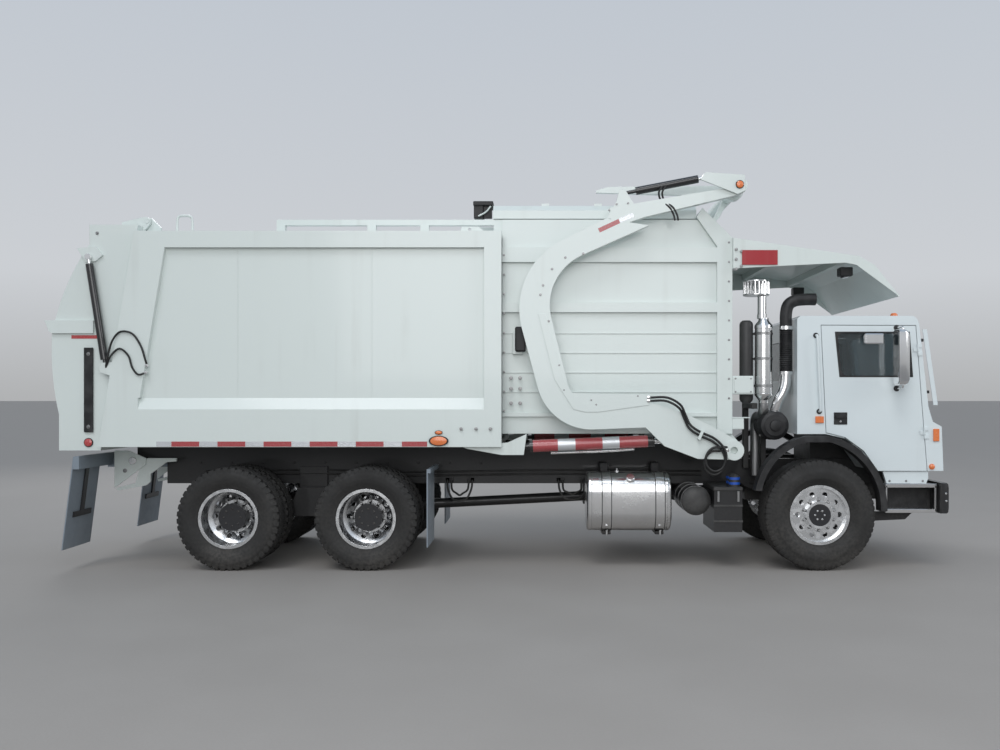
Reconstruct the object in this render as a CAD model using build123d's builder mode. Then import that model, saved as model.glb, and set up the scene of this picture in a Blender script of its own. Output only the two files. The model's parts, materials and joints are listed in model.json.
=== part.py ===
from build123d import *
from math import atan2, cos, degrees, hypot, pi, radians, sin
import os

os.makedirs("parts", exist_ok=True)

# A front-loading garbage truck, with its arms stowed and its forks folded back over the hopper.
# Millimetres. +X runs forward, +Y to the driver's left and +Z up, with the ground at Z = 0.
# Each side piece is drawn on the right side, at minus Y, and mirrored for the left.

# Stations along the truck
seam_x = 55  # storage body meets hopper
body_length = 3710  # storage body along its roof
body_lean = 360  # how much further back its floor reaches
hopper_length = 2365
cab_gap = 652  # hopper front to cab back
cab_length = 1494
bumper_reach = 22  # bumper face ahead of the cab's nose
tailgate_depth = 933  # roof corner of the body to the tailgate's beam

# Heights
frame_top = 1090
subframe_height = 168
body_height = 2183
hopper_floor = 1385
hopper_height = 2207
tailgate_drop = 40  # tailgate's lower edge under the body's floor
cab_top = 2592

# Half widths
body_half = 1220
body_panel_depth = 50  # recess of the body's side panels
body_wall = 50
hopper_half = 1050
hopper_rib_depth = 40
tailgate_half = 1130
cab_half = 1100
bumper_half = 1200
rail_half = 425

# Running gear
wheelbase = 5310  # front axle to the middle of the tandem
front_overhang_in_cab = 217  # cab back to front axle
tandem_spacing = 1397
rear_tyre_radius = 525
rear_tyre_width = 279
rear_tyre_centre = 1058
dual_spacing = 340
front_tyre_radius = 562
front_tyre_width = 420
front_tyre_centre = 990
kingpin_half = 850
rim_radius = 286
rim_flange = 305
rim_wall = 12

# Lift arms
arm_inner = 1165  # inner face of the arms
arm_thickness = 90
arm_pivot_back = 25  # arm pivot behind the hopper's front
arm_pivot_drop = 159  # arm pivot under the hopper's floor
torque_tube_radius = 80
fork_radius = 2667  # fork shaft from the arm pivot
fork_lean = 1.1  # degrees that the fork shaft leans ahead of the arm pivot
fork_length = 1420
fork_half = 950
lift_cylinder_half = 1110

# Fits
pin_gap = 0.5  # radial clearance of pins and shafts
moving_gap = 6  # clearance between panels that move apart
sheet = 8

# Stations and heights that follow
body_back_x = seam_x - body_length
hopper_front_x = seam_x + hopper_length
cab_back_x = hopper_front_x + cab_gap
cab_front_x = cab_back_x + cab_length
bumper_x = cab_front_x + bumper_reach
front_axle_x = cab_back_x + front_overhang_in_cab
tandem_x = front_axle_x - wheelbase
rear_axle_xs = (tandem_x - tandem_spacing / 2, tandem_x + tandem_spacing / 2)
body_floor = frame_top + subframe_height
body_top = body_floor + body_height
hopper_top = hopper_floor + hopper_height
arm_pivot = (hopper_front_x - arm_pivot_back, hopper_floor - arm_pivot_drop)
fork_pivot = (
    arm_pivot[0] + fork_radius * sin(radians(fork_lean)),
    arm_pivot[1] + fork_radius * cos(radians(fork_lean)),
)
body_panel_half = body_half - body_panel_depth
body_inner_half = body_panel_half - body_wall
cab_origin = (cab_back_x, 0)


def block(x_span, y_span, z_span, mode=Mode.ADD):
    """A box between two X, two Y and two Z."""
    spans = (x_span, y_span, z_span)
    middle = [(low + high) / 2 for low, high in spans]
    size = [high - low for low, high in spans]
    with Locations(tuple(middle)):
        Box(*size, mode=mode)


def plate(outline, y_low, y_high, mode=Mode.ADD):
    """A plate cut to an outline of X and Z, between two Y."""
    with BuildSketch(Plane.XZ.offset(-y_high)) as profile:
        with BuildLine():
            Polyline(*outline, close=True)
        make_face()
    extrude(profile.sketch, amount=y_high - y_low, mode=mode)


def rod_across(centre, radius, y_low, y_high, mode=Mode.ADD):
    """A round bar along Y through one X and Z."""
    with BuildSketch(Plane.XZ.offset(-y_high)) as section:
        with Locations(centre):
            Circle(radius)
    extrude(section.sketch, amount=y_high - y_low, mode=mode)


def rod_up(x, y, radius, z_low, z_high, mode=Mode.ADD):
    """A round bar along Z."""
    with BuildSketch(Plane.XY.offset(z_low)) as section:
        with Locations((x, y)):
            Circle(radius)
    extrude(section.sketch, amount=z_high - z_low, mode=mode)


def rod_between(start, end, y, radius, bore=0, mode=Mode.ADD):
    """A round bar or tube from one X and Z to another, at one Y."""
    run = (end[0] - start[0], end[1] - start[1])
    across = Plane(origin=(start[0], y, start[1]), x_dir=(0, 1, 0), z_dir=(run[0], 0, run[1]))
    with BuildSketch(across) as section:
        Circle(radius)
        if bore:
            Circle(bore, mode=Mode.SUBTRACT)
    extrude(section.sketch, amount=hypot(*run), mode=mode)


def along(start, end, distance):
    """The point a distance from start towards end."""
    run = (end[0] - start[0], end[1] - start[1])
    share = distance / hypot(*run)
    return (start[0] + run[0] * share, start[1] + run[1] * share)


def shifted(points, origin):
    """An outline moved to its origin."""
    return [(origin[0] + x, origin[1] + z) for x, z in points]


def save(name, solid):
    """Label one piece and write its file."""
    solid.label = name
    export_step(solid, f"parts/{name}.step")


def save_pair(name, solid):
    """Write the right-hand piece and its mirror image for the left."""
    save(f"{name}_right", solid)
    with BuildPart() as left:
        add(solid)
        mirror(about=Plane.XZ, mode=Mode.REPLACE)
    save(f"{name}_left", left.part)


# Chassis frame: two channel rails, cross members and the body's subframe
frame_back_x = rear_axle_xs[0] - 908
frame_front_x = bumper_x - 96
rail_height = 270
rail_width = 70
rail_wall = 10
cross_member = 60
cross_member_xs = (
    frame_back_x + 60,
    rear_axle_xs[0] - 400,
    tandem_x,
    rear_axle_xs[1] + 450,
    seam_x + 300,
    seam_x + 1500,
    cab_back_x - 420,
)
subframe_back_x = body_back_x - body_lean + 60
subframe_front_x = arm_pivot[0] - torque_tube_radius - 40
rail_middle = frame_top - rail_height / 2

with BuildPart() as chassis_frame:
    with BuildSketch(Plane.YZ.offset(frame_back_x)):
        with Locations((0, rail_middle)):
            Rectangle(2 * rail_half, rail_height)
            Rectangle(2 * (rail_half - rail_wall), rail_height - 2 * rail_wall, mode=Mode.SUBTRACT)
            Rectangle(2 * (rail_half - rail_width), rail_height, mode=Mode.SUBTRACT)
    extrude(amount=frame_front_x - frame_back_x)
    for member_x in cross_member_xs:
        block(
            (member_x - cross_member / 2, member_x + cross_member / 2),
            (-rail_half + rail_wall, rail_half - rail_wall),
            (frame_top - rail_height + rail_wall, frame_top - rail_wall),
        )
    for side in (-1, 1):
        inner, outer = sorted((side * (rail_half - rail_width), side * rail_half))
        block((subframe_back_x, subframe_front_x), (inner, outer), (frame_top, body_floor))
save("chassis_frame", chassis_frame.part)

# Storage body: a lean-backed box with recessed side panels, open to the tailgate and the hopper
roof_sheet = 40
floor_sheet = 60
top_rail = 168
sill_top = body_floor + 378
ledge_rise = 117
lifting_lug_half = 1150
rear_post = 340
front_post = 176
body_back_low_x = body_back_x - body_lean
lean = body_lean / body_height
body_outline = [
    (body_back_x, body_top),
    (seam_x, body_top),
    (seam_x, body_floor),
    (body_back_low_x, body_floor),
]


def seam_at(z, clear=0):
    """The X of the body's back edge at one height, moved back by a clearance."""
    return body_back_x - lean * (body_top - z) - clear


body_cavity = [
    (seam_at(body_top - roof_sheet, 1), body_top - roof_sheet),
    (seam_x + 1, body_top - roof_sheet),
    (seam_x + 1, body_floor + floor_sheet),
    (seam_at(body_floor + floor_sheet, 1), body_floor + floor_sheet),
]
panel_low = sill_top + ledge_rise
panel_high = body_top - top_rail
panel_outline = [
    (seam_at(panel_high) + rear_post, panel_high),
    (seam_x - front_post, panel_high),
    (seam_x - front_post, panel_low),
    (seam_at(panel_low) + rear_post, panel_low),
]
with BuildPart() as storage_body:
    plate(body_outline, -body_half, body_half)
    plate(body_cavity, -body_inner_half, body_inner_half, mode=Mode.SUBTRACT)
    for side in (-1, 1):
        low, high = sorted((side * body_panel_half, side * (body_half + 1)))
        plate(panel_outline, low, high, mode=Mode.SUBTRACT)
        with BuildSketch(Plane.YZ.offset(seam_at(sill_top) + rear_post)):
            with BuildLine():
                Polyline(
                    (side * body_panel_half, panel_low),
                    (side * (body_half + 1), panel_low),
                    (side * (body_half + 1), sill_top),
                    close=True,
                )
            make_face()
        extrude(amount=seam_x - front_post - seam_at(sill_top) - rear_post, mode=Mode.SUBTRACT)

    # Brackets that carry the lift cylinders' base pins, under the front posts
    bracket_outer = body_half
    lift_base = (seam_x + 165, body_floor - 3)
    lift_pin_radius = 30
    bracket_outline = [
        (seam_x - 400, body_floor + 1),
        (seam_x + 60, body_floor + 40),
        (lift_base[0] + 90, hopper_floor),
        (lift_base[0] + 60, lift_base[1] - 80),
        (seam_x, lift_base[1] - 80),
        (seam_x - 350, body_floor - 20),
    ]
    for side in (-1, 1):
        for face in (lift_cylinder_half - 60, lift_cylinder_half + 40):
            low, high = sorted((side * face, side * (face + 20)))
            plate(bracket_outline, low, high)
        low, high = sorted((side * (lift_cylinder_half - 60), side * (lift_cylinder_half + 60)))
        rod_across(lift_base, lift_pin_radius, low, high)

    # Brackets that carry the tailgate cylinders' base pins
    gate_cylinder_half = 1182
    gate_base = (seam_at(2062) - 70, 2062)
    gate_pin_radius = 20
    ear = [(170, 60), (170, -120), (-40, -50), (-55, 0), (-30, 45)]
    for side in (-1, 1):
        low, high = sorted((side * (gate_cylinder_half + 26), side * body_half))
        plate(shifted(ear, gate_base), low, high)
        low, high = sorted((side * (gate_cylinder_half - 26), side * body_half))
        rod_across(gate_base, gate_pin_radius, low, high)

    # Lifting lugs on the top rails
    lifting_hole = (seam_x - 322, body_top + 20)
    lifting_hole_radius = 15
    lifting_lug = shifted([(-97, -22), (-82, 30), (92, 30), (146, -22)], lifting_hole)
    for side in (-1, 1):
        low, high = sorted((side * lifting_lug_half, side * (lifting_lug_half + 20)))
        plate(lifting_lug, low, high)
        rod_across(lifting_hole, lifting_hole_radius, low, high, mode=Mode.SUBTRACT)

    # Hinge lugs for the tailgate
    hinge = (body_back_x + 47, body_top + 134)
    hinge_half = 940
    hinge_pin_radius = 22
    lug_thickness = 30
    lug = [(130, -134), (130, -60), (30, 40), (-20, 40), (-30, 0), (0, -134)]
    for side in (-1, 1):
        low, high = sorted((side * hinge_half, side * (hinge_half + lug_thickness)))
        plate(shifted(lug, hinge), low, high)
        rod_across(hinge, hinge_pin_radius, *sorted((side * (hinge_half - 40), side * (hinge_half + 70))))

    # Track rails that the top door slides on
    track_inner = 900
    track_outer = 960
    track_top = body_top + 160
    track_back_x = seam_x - 2340
    for side in (-1, 1):
        low, high = sorted((side * track_inner, side * track_outer))
        block((track_back_x, seam_x), (low, high), (track_top - 60, track_top))
        for stand_x in (track_back_x, seam_x - 1400, seam_x - 850, seam_x - 90):
            block((stand_x, stand_x + 90), (low, high), (body_top, track_top))
save("storage_body", storage_body.part)

# Tailgate: a bulged shell that hangs from the hinge and closes the body
gate_low = body_floor - tailgate_drop
gate_top = body_top + 77
gate_wall = 60
gate_crown = (body_back_x - 488, gate_top)
gate_crown_drop = 200
gate_bulge_x = body_back_x - tailgate_depth + 66
gate_beam_low = body_floor + 1152
gate_beam_high = gate_beam_low + 132


def gate_profile(inset):
    """The tailgate's side outline, drawn in by a wall."""
    back_low = (gate_bulge_x + 70 + inset, gate_low + inset)
    front_low = (seam_at(gate_low, moving_gap) + (inset and 10), gate_low + inset)
    front_top = (seam_at(gate_top, moving_gap) + (inset and 10), gate_top - inset)
    crown = (gate_crown[0] + inset, gate_top - inset)
    crown_low = (gate_crown[0] + inset, gate_top - gate_crown_drop)
    bulge = (gate_bulge_x + inset, gate_beam_low)
    shoulder = (gate_bulge_x + 128 + inset * 0.8, gate_beam_low + 438 - inset * 0.5)
    heel = (gate_bulge_x + 70 + inset, gate_low + 367)
    belly = (gate_bulge_x + 4 + inset, gate_low + 780)
    with BuildSketch(Plane.XZ.offset(-tailgate_half + inset)) as profile:
        with BuildLine():
            Polyline(heel, back_low, front_low, front_top, crown, crown_low)
            ThreePointArc(crown_low, shoulder, bulge)
            ThreePointArc(bulge, belly, heel)
        make_face()
    return profile.sketch


with BuildPart() as tailgate:
    extrude(gate_profile(0), amount=2 * tailgate_half)
    extrude(gate_profile(gate_wall), amount=2 * (tailgate_half - gate_wall), mode=Mode.SUBTRACT)
    # Beam across the back
    beam = [
        (gate_bulge_x - 66, gate_beam_high),
        (gate_bulge_x + 430, gate_beam_high),
        (gate_bulge_x + 430, gate_beam_low),
        (gate_bulge_x + 10, gate_beam_low),
        (gate_bulge_x - 20, gate_beam_low + 20),
    ]
    for side in (-1, 1):
        low, high = sorted((side * (tailgate_half - 20), side * (tailgate_half + 28)))
        plate(beam, low, high)
    beam_back = [beam[0], (gate_bulge_x + 30, gate_beam_high), (gate_bulge_x + 30, gate_beam_low), beam[3], beam[4]]
    plate(beam_back, -tailgate_half, tailgate_half)
    # Hinge ears either side of each of the body's lugs
    ear_outline = [(-60, -134), (30, -30), (35, 20), (0, 45), (-60, 40), (-260, -10), (-260, -134)]
    for side in (-1, 1):
        for face in (hinge_half - 36, hinge_half + lug_thickness + 6):
            low, high = sorted((side * face, side * (face + 30)))
            plate(shifted(ear_outline, hinge), low, high)
            rod_across(hinge, hinge_pin_radius + pin_gap, low, high, mode=Mode.SUBTRACT)
    # Lugs for the cylinders' rods
    gate_rod_pin = (gate_base[0] - 177, gate_base[1] + 1121)
    lug_plate = [(-130, 90), (60, 110), (130, 20), (60, -40), (-40, -50)]
    for side in (-1, 1):
        low, high = sorted((side * tailgate_half, side * (gate_cylinder_half - 26)))
        plate(shifted(lug_plate, gate_rod_pin), low, high)
save("tailgate", tailgate.part)

# Hopper: open to the body behind it and to the sky under the top door
hopper_wall = 50
hopper_panel_half = hopper_half - hopper_rib_depth
hopper_inner_half = hopper_panel_half - hopper_wall
chamfer_x = hopper_front_x - 308
chamfer_z = hopper_top + 112
chamfer_low = hopper_top - 191
front_post_width = 156
hopper_outline = [
    (seam_x, hopper_floor),
    (hopper_front_x, hopper_floor),
    (hopper_front_x, chamfer_low),
    (hopper_front_x - 194, hopper_top),
    (seam_x, hopper_top),
]
hopper_cavity = [
    (seam_x - 1, hopper_floor + hopper_wall),
    (hopper_front_x - hopper_wall, hopper_floor + hopper_wall),
    (hopper_front_x - hopper_wall, chamfer_low - 30),
    (hopper_front_x - 230, hopper_top - hopper_wall),
    (seam_x - 1, hopper_top - hopper_wall),
]
rib_rows = ((3148, 152, 40), (2633, 101, 40), (2414, 12, 8), (2212, 12, 8), (2010, 12, 8), (1808, 12, 8), (1561, 41, 30))
throat_back_x = seam_x + 120
throat_front_x = hopper_front_x - 400
throat_half = 850
front_post_outline = [
    (hopper_front_x - front_post_width, hopper_floor),
    (hopper_front_x, hopper_floor),
    (hopper_front_x, chamfer_low),
    (chamfer_x, chamfer_z),
    (chamfer_x - 60, chamfer_z - 90),
    (hopper_front_x - front_post_width, chamfer_low - 90),
]
with BuildPart() as hopper:
    plate(hopper_outline, -hopper_panel_half, hopper_panel_half)
    plate(hopper_cavity, -hopper_inner_half, hopper_inner_half, mode=Mode.SUBTRACT)
    block(
        (throat_back_x, throat_front_x),
        (-throat_half, throat_half),
        (hopper_top - hopper_wall - 1, hopper_top + 1),
        mode=Mode.SUBTRACT,
    )
    for side in (-1, 1):
        low, high = sorted((side * hopper_panel_half, side * hopper_half))
        plate(front_post_outline, low, high)
        for rib_low, rib_height, rib_depth in rib_rows:
            low, high = sorted((side * hopper_panel_half, side * (hopper_panel_half + rib_depth)))
            block((seam_x, hopper_front_x - front_post_width), (low, high), (rib_low, rib_low + rib_height))
    # Deflector over the front wall
    deflector = [
        (chamfer_x, chamfer_z),
        (hopper_front_x, chamfer_low),
        (hopper_front_x - 14, chamfer_low - 10),
        (chamfer_x - 10, chamfer_z - 20),
    ]
    plate(deflector, -hopper_half, hopper_half)
    # Track over the hopper, in line with the body's
    for side in (-1, 1):
        low, high = sorted((side * track_inner, side * track_outer))
        block((seam_x, throat_front_x + 60), (low, high), (hopper_top, track_top))
    # Hangers that carry the arms' torque tube
    hanger = [(-330, 159), (25, 159), (110, 60), (110, -60), (60, -110), (-60, -110), (-110, -60)]
    for side in (-1, 1):
        low, high = sorted((side * 930, side * (930 + 70)))
        plate(shifted(hanger, arm_pivot), low, high)
        rod_across(arm_pivot, torque_tube_radius + pin_gap, low, high, mode=Mode.SUBTRACT)
save("hopper", hopper.part)

# Top door: a shallow pan that slides back over the body on the track
door_low = track_top + moving_gap
door_high = door_low + 146
door_wall = 12
door_half = 975
door_back_x = seam_x - 95
door_front_x = throat_front_x + 42
with BuildPart() as top_door:
    block((door_back_x, door_front_x), (-door_half, door_half), (door_low, door_high))
    chamfer(top_door.edges().filter_by(Axis.X).group_by(Axis.Z)[-1], 60)
    block(
        (door_back_x + door_wall, door_front_x - door_wall),
        (-door_half + 90, door_half - 90),
        (door_low - 1, door_high - door_wall),
        mode=Mode.SUBTRACT,
    )
    for rib_x in (door_back_x + 500, door_back_x + 1050, door_back_x + 1600):
        block((rib_x, rib_x + 80), (-door_half + 60, door_half - 60), (door_high, door_high + 24))
    # Bracket at the back that the door's cylinder pulls on
    block((door_back_x - 222, door_back_x), (-160, 160), (door_low, door_low + 60))
    block((door_back_x - 222, door_back_x - 190), (-160, 160), (door_low, door_high + 60))
save("top_door", top_door.part)

# Canopy over the cab's back, hung on the hopper's front
canopy_half = 1100
canopy_wall = 14
canopy_root = (hopper_front_x, chamfer_low - 10)
canopy_top = shifted([(0, 0), (1282, -186), (1445, -279), (1700, -597)], canopy_root)
canopy_under = shifted([(1686, -603), (1436, -292), (1278, -200), (0, -14)], canopy_root)
canopy_side = shifted([(0, 0), (1282, -186), (1445, -279), (1700, -597), (1640, -560), (1259, -279), (1143, -256), (0, -314)], canopy_root)
with BuildPart() as canopy:
    plate(canopy_top + canopy_under, -canopy_half, canopy_half)
    for side in (-1, 1):
        low, high = sorted((side * (canopy_half - canopy_wall), side * canopy_half))
        plate(canopy_side, low, high)
    for rib_x, rib_z in ((560, -96), (1120, -178)):
        rib = shifted([(rib_x, rib_z), (rib_x + 60, rib_z), (rib_x + 60, rib_z - 70), (rib_x, rib_z - 70)], canopy_root)
        plate(rib, -canopy_half + canopy_wall, canopy_half - canopy_wall)
    back_frame = shifted([(0, -14), (60, -14), (60, -314), (0, -314)], canopy_root)
    for side in (-1, 1):
        low, high = sorted((side * 900, side * (canopy_half - canopy_wall)))
        plate(back_frame, low, high)
save("canopy", canopy.part)

# Cab: one hollow shell with openings for two doors, the windscreen and the back window
cab_wall = 50
cab_floor = 1008
cab_back_floor = 1384
door_thickness = 50
door_gap = 6
cab_nose_z = 1460
roof_z = cab_top
cab_outline = [
    (cab_back_x, cab_back_floor),
    (cab_back_x + 290, cab_back_floor),
    (cab_back_x + 491, 1340),
    (cab_back_x + 677, 1208),
    (cab_back_x + 816, cab_floor),
    (cab_front_x, cab_floor),
    (cab_front_x - 18, cab_nose_z),
    (cab_front_x - 109, cab_nose_z + 51),
    (cab_front_x - 153, cab_nose_z + 202),
    (cab_front_x - 248, cab_nose_z + 1051),
    (cab_front_x - 280, roof_z),
    (cab_back_x, roof_z),
]
cab_cavity = [
    (cab_back_x + cab_wall, cab_back_floor + cab_wall),
    (cab_back_x + 305, cab_back_floor + cab_wall),
    (cab_back_x + 520, 1385),
    (cab_back_x + 715, 1245),
    (cab_back_x + 850, cab_floor + cab_wall),
    (cab_front_x - cab_wall, cab_floor + cab_wall),
    (cab_front_x - cab_wall - 18, cab_nose_z - 30),
    (cab_front_x - 158, cab_nose_z + 20),
    (cab_front_x - 203, cab_nose_z + 202),
    (cab_front_x - 298, roof_z - 100),
    (cab_front_x - 350, roof_z - 60),
    (cab_back_x + cab_wall, roof_z - 60),
]
door_outline = [
    (cab_back_x + 246, 2494),
    (cab_front_x - 286, 2491),
    (cab_front_x - 170, cab_floor),
    (cab_back_x + 816 + 10, cab_floor),
    (cab_back_x + 677 + 5, 1213),
    (cab_back_x + 491, 1352),
    (cab_back_x + 298, 1400),
]
door_opening = [
    (cab_back_x + 240, 2500),
    (cab_front_x - 280, 2497),
    (cab_front_x - 164, cab_floor - 1),
    (cab_back_x + 816, cab_floor - 1),
    (cab_back_x + 676, 1206),
    (cab_back_x + 488, 1344),
    (cab_back_x + 292, 1394),
]
window_outline = [
    (cab_back_x + 384, 2430),
    (cab_front_x - 345, 2430),
    (cab_front_x - 311, 1966),
    (cab_back_x + 431, 1966),
]
# Door hinges: knuckles on one line that leans with the door's front edge
hinge_stand_off = 12
knuckle_radius = 9
knuckle_length = 40
knuckle_gap = 1
door_pin_radius = 4
leaf_length = 45
leaf_inner = cab_half - 1
leaf_outer = cab_half + 8
door_axis_half = cab_half + hinge_stand_off
door_axis_low = (cab_front_x - 170 + door_gap / 2, cab_floor)
door_axis_high = (cab_front_x - 286 + door_gap / 2, 2491)
hinge_rises = (330, 1180)


def door_axis_at(rise):
    """The point of the door's hinge line a distance up from its foot."""
    return along(door_axis_low, door_axis_high, rise)


def door_knuckle(low, high, y_side, reach, bore):
    """One knuckle on the right side, with its leaf that reaches forward or back."""
    foot, head = door_axis_at(low), door_axis_at(high)
    leaf = [foot, (foot[0] + reach, foot[1]), (head[0] + reach, head[1]), head]
    plate(leaf, -leaf_outer, -leaf_inner)
    rod_between(foot, head, y_side, knuckle_radius)
    if bore:
        rod_between(foot, head, y_side, bore, mode=Mode.SUBTRACT)


windscreen_low = cab_nose_z + 190
windscreen_high = roof_z - 130
windscreen_half = 960
back_window_half = 420
tunnel_half = 460
tunnel_top = 1420
tunnel_back_x = cab_back_x + 300
tunnel_front_x = cab_front_x - 260
with BuildPart() as cab_shell:
    plate(cab_outline, -cab_half, cab_half)
    chamfer(cab_shell.edges().filter_by(Axis.Y).group_by(Axis.Z)[-1], 30)
    plate(cab_cavity, -cab_half + door_thickness, cab_half - door_thickness, mode=Mode.SUBTRACT)
    for side in (-1, 1):
        low, high = sorted((side * (cab_half - door_thickness - 1), side * (cab_half + 1)))
        plate(door_opening, low, high, mode=Mode.SUBTRACT)
    # Windscreen and back window
    with BuildSketch(Plane.YZ.offset(cab_front_x - 400)):
        with Locations((0, (windscreen_low + windscreen_high) / 2)):
            RectangleRounded(2 * windscreen_half, windscreen_high - windscreen_low, 60)
    extrude(amount=400, mode=Mode.SUBTRACT)
    with BuildSketch(Plane.YZ.offset(cab_back_x - 1)):
        with Locations((0, 2150)):
            RectangleRounded(2 * back_window_half, 420, 60)
    extrude(amount=cab_wall + 2, mode=Mode.SUBTRACT)
    # Engine tunnel between the seats, open from below
    tunnel_outline = [
        (tunnel_back_x, cab_back_floor),
        *cab_outline[2:5],
        (cab_front_x - 1, cab_floor),
        (cab_front_x - 1, frame_top + 60),
        (tunnel_front_x, frame_top + 60),
        (tunnel_front_x, tunnel_top),
        (tunnel_back_x, tunnel_top),
    ]
    plate(tunnel_outline, -tunnel_half, tunnel_half)
    block(
        (tunnel_back_x + 20, tunnel_front_x - 20),
        (-tunnel_half + 20, tunnel_half - 20),
        (cab_floor - 1, tunnel_top - 20),
        mode=Mode.SUBTRACT,
    )
    block(
        (tunnel_front_x - 21, cab_front_x - cab_wall),
        (-tunnel_half + 20, tunnel_half - 20),
        (cab_floor - 1, frame_top + 40),
        mode=Mode.SUBTRACT,
    )
    # Outer knuckles of the door hinges
    for rise in hinge_rises:
        for start in (rise, rise + 2 * (knuckle_length + knuckle_gap)):
            door_knuckle(start, start + knuckle_length, -door_axis_half, leaf_length, door_pin_radius + pin_gap)
    with BuildPart(mode=Mode.PRIVATE) as left_knuckles:
        for rise in hinge_rises:
            for start in (rise, rise + 2 * (knuckle_length + knuckle_gap)):
                door_knuckle(start, start + knuckle_length, -door_axis_half, leaf_length, door_pin_radius + pin_gap)
        mirror(about=Plane.XZ, mode=Mode.REPLACE)
    add(left_knuckles.part)
save("cab_shell", cab_shell.part)

# Fixed glass of the cab
with BuildPart() as cab_glass:
    slope = 95 / 849
    glass_low_x = cab_front_x - 165 - slope * 0
    with BuildSketch(Plane.YZ.offset(cab_front_x - 400)):
        with Locations((0, (windscreen_low + windscreen_high) / 2)):
            RectangleRounded(2 * windscreen_half, windscreen_high - windscreen_low, 60)
    extrude(amount=400)
    pane_low_x = cab_front_x - 153 - slope * (windscreen_low - cab_nose_z - 202) - 22
    pane_high_x = cab_front_x - 153 - slope * (windscreen_high - cab_nose_z - 202) - 22
    pane = [
        (pane_low_x, windscreen_low - 10),
        (pane_low_x + 8, windscreen_low - 10),
        (pane_high_x + 8, windscreen_high + 10),
        (pane_high_x, windscreen_high + 10),
    ]
    plate(pane, -cab_half, cab_half, mode=Mode.INTERSECT)
    with BuildSketch(Plane.YZ.offset(cab_back_x + 20)):
        with Locations((0, 2150)):
            RectangleRounded(2 * back_window_half, 420, 60)
    extrude(amount=6)
save("cab_glass", cab_glass.part)

# Doors, hinged on the line of their front edges
with BuildPart() as door:
    plate(door_outline, -cab_half, -cab_half + door_thickness - 4)
    plate(window_outline, -cab_half - 1, -cab_half + door_thickness, mode=Mode.SUBTRACT)
    for rise in hinge_rises:
        start = rise + knuckle_length + knuckle_gap
        door_knuckle(start, start + knuckle_length, -door_axis_half, -leaf_length, 0)
        rod_between(
            door_axis_at(rise), door_axis_at(rise + 3 * knuckle_length + 2 * knuckle_gap), -door_axis_half, door_pin_radius
        )
save_pair("door", door.part)

with BuildPart() as door_glass:
    plate(window_outline, -cab_half + 18, -cab_half + 24)
save_pair("door_glass", door_glass.part)

with BuildPart() as mirror_piece:
    mirror_x = cab_front_x - 490
    for arm_z in (1840, 2460):
        block((mirror_x, mirror_x + 20), (-cab_half - 250, -cab_half), (arm_z, arm_z + 20))
    block((mirror_x - 60, mirror_x + 60), (-cab_half - 270, -cab_half - 90), (1880, 2440))
save_pair("mirror", mirror_piece.part)

# Cab interior: two seats, dash and steering wheel
with BuildPart() as cab_interior:
    seat_x = cab_back_x + 330
    for side in (-1, 1):
        low, high = sorted((side * 450, side * 900))
        block((seat_x, seat_x + 480), (low, high), (cab_back_floor + cab_wall, 1600))
        seat_back = [(seat_x, 1600), (seat_x + 130, 1600), (seat_x + 30, 2250), (seat_x - 90, 2250)]
        plate(seat_back, low, high)
    dash = [(cab_front_x - 330, 1430), (cab_front_x - 230, 1480), (cab_front_x - 260, 1700), (cab_front_x - 420, 1640)]
    plate(dash, -980, 980)
    for side in (-1, 1):
        wheel_plane = Plane(
            origin=(cab_front_x - 520, side * 670, 1780), x_dir=(0, 1, 0), z_dir=(-0.45, 0, 0.9)
        )
        with BuildSketch(wheel_plane):
            Circle(225)
            Circle(200, mode=Mode.SUBTRACT)
            Rectangle(410, 40)
            Circle(50)
        extrude(amount=25)
        rod_between((cab_front_x - 360, 1640), (cab_front_x - 505, 1790), side * 670, 30)
save("cab_interior", cab_interior.part)

# Bumper, steps and fenders
with BuildPart() as bumper:
    block((bumper_x - 96, bumper_x), (-bumper_half, bumper_half), (583, 894))
save("bumper", bumper.part)

with BuildPart() as cab_steps:
    for side in (-1, 1):
        low, high = sorted((side * 950, side * 1130))
        block((cab_back_x + 890, bumper_x - 100), (low, high), (583, 879))
        low, high = sorted((side * 1040, side * cab_half))
        block((cab_back_x + 880, cab_front_x - 150), (low, high), (879, cab_floor - moving_gap))
save("cab_steps", cab_steps.part)

fender_thickness = 65


def fender_line(inset):
    """The fender's edge as seen from the side, drawn in towards the wheel."""
    back = (front_axle_x - 665 + inset, 814)
    crown_back = (front_axle_x - 146, 1369 - inset)
    crown_front = (front_axle_x + 86, 1369 - inset)
    front = (front_axle_x + 668 - inset, 606)
    return back, crown_back, crown_front, front


with BuildPart() as fenders:
    with BuildSketch(Plane.XZ.offset(1050)):
        with BuildLine():
            outer = fender_line(0)
            inner = fender_line(fender_thickness)
            ThreePointArc(outer[0], (front_axle_x - 425, 1230), outer[1])
            Line(outer[1], outer[2])
            ThreePointArc(outer[2], (front_axle_x + 520, 1085), outer[3])
            Line(outer[3], inner[3])
            ThreePointArc(inner[3], (front_axle_x + 470, 1045), inner[2])
            Line(inner[2], inner[1])
            ThreePointArc(inner[1], (front_axle_x - 380, 1185), inner[0])
            Line(inner[0], outer[0])
        make_face()
    extrude(amount=150)
    mirror(about=Plane.XZ)
save("fenders", fenders.part)


# Wheels: tyre and rim are turned about the axle from one half section
def wheel_plane_at(x, z):
    """A plane through the axle, with Y across and the radius up."""
    return Plane(origin=(x, 0, z), x_dir=(0, 1, 0), z_dir=(1, 0, 0))


def turn(section, x, z):
    """Revolve a section about the axle."""
    revolve(section, axis=Axis((x, 0, z), (0, 1, 0)))


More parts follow.
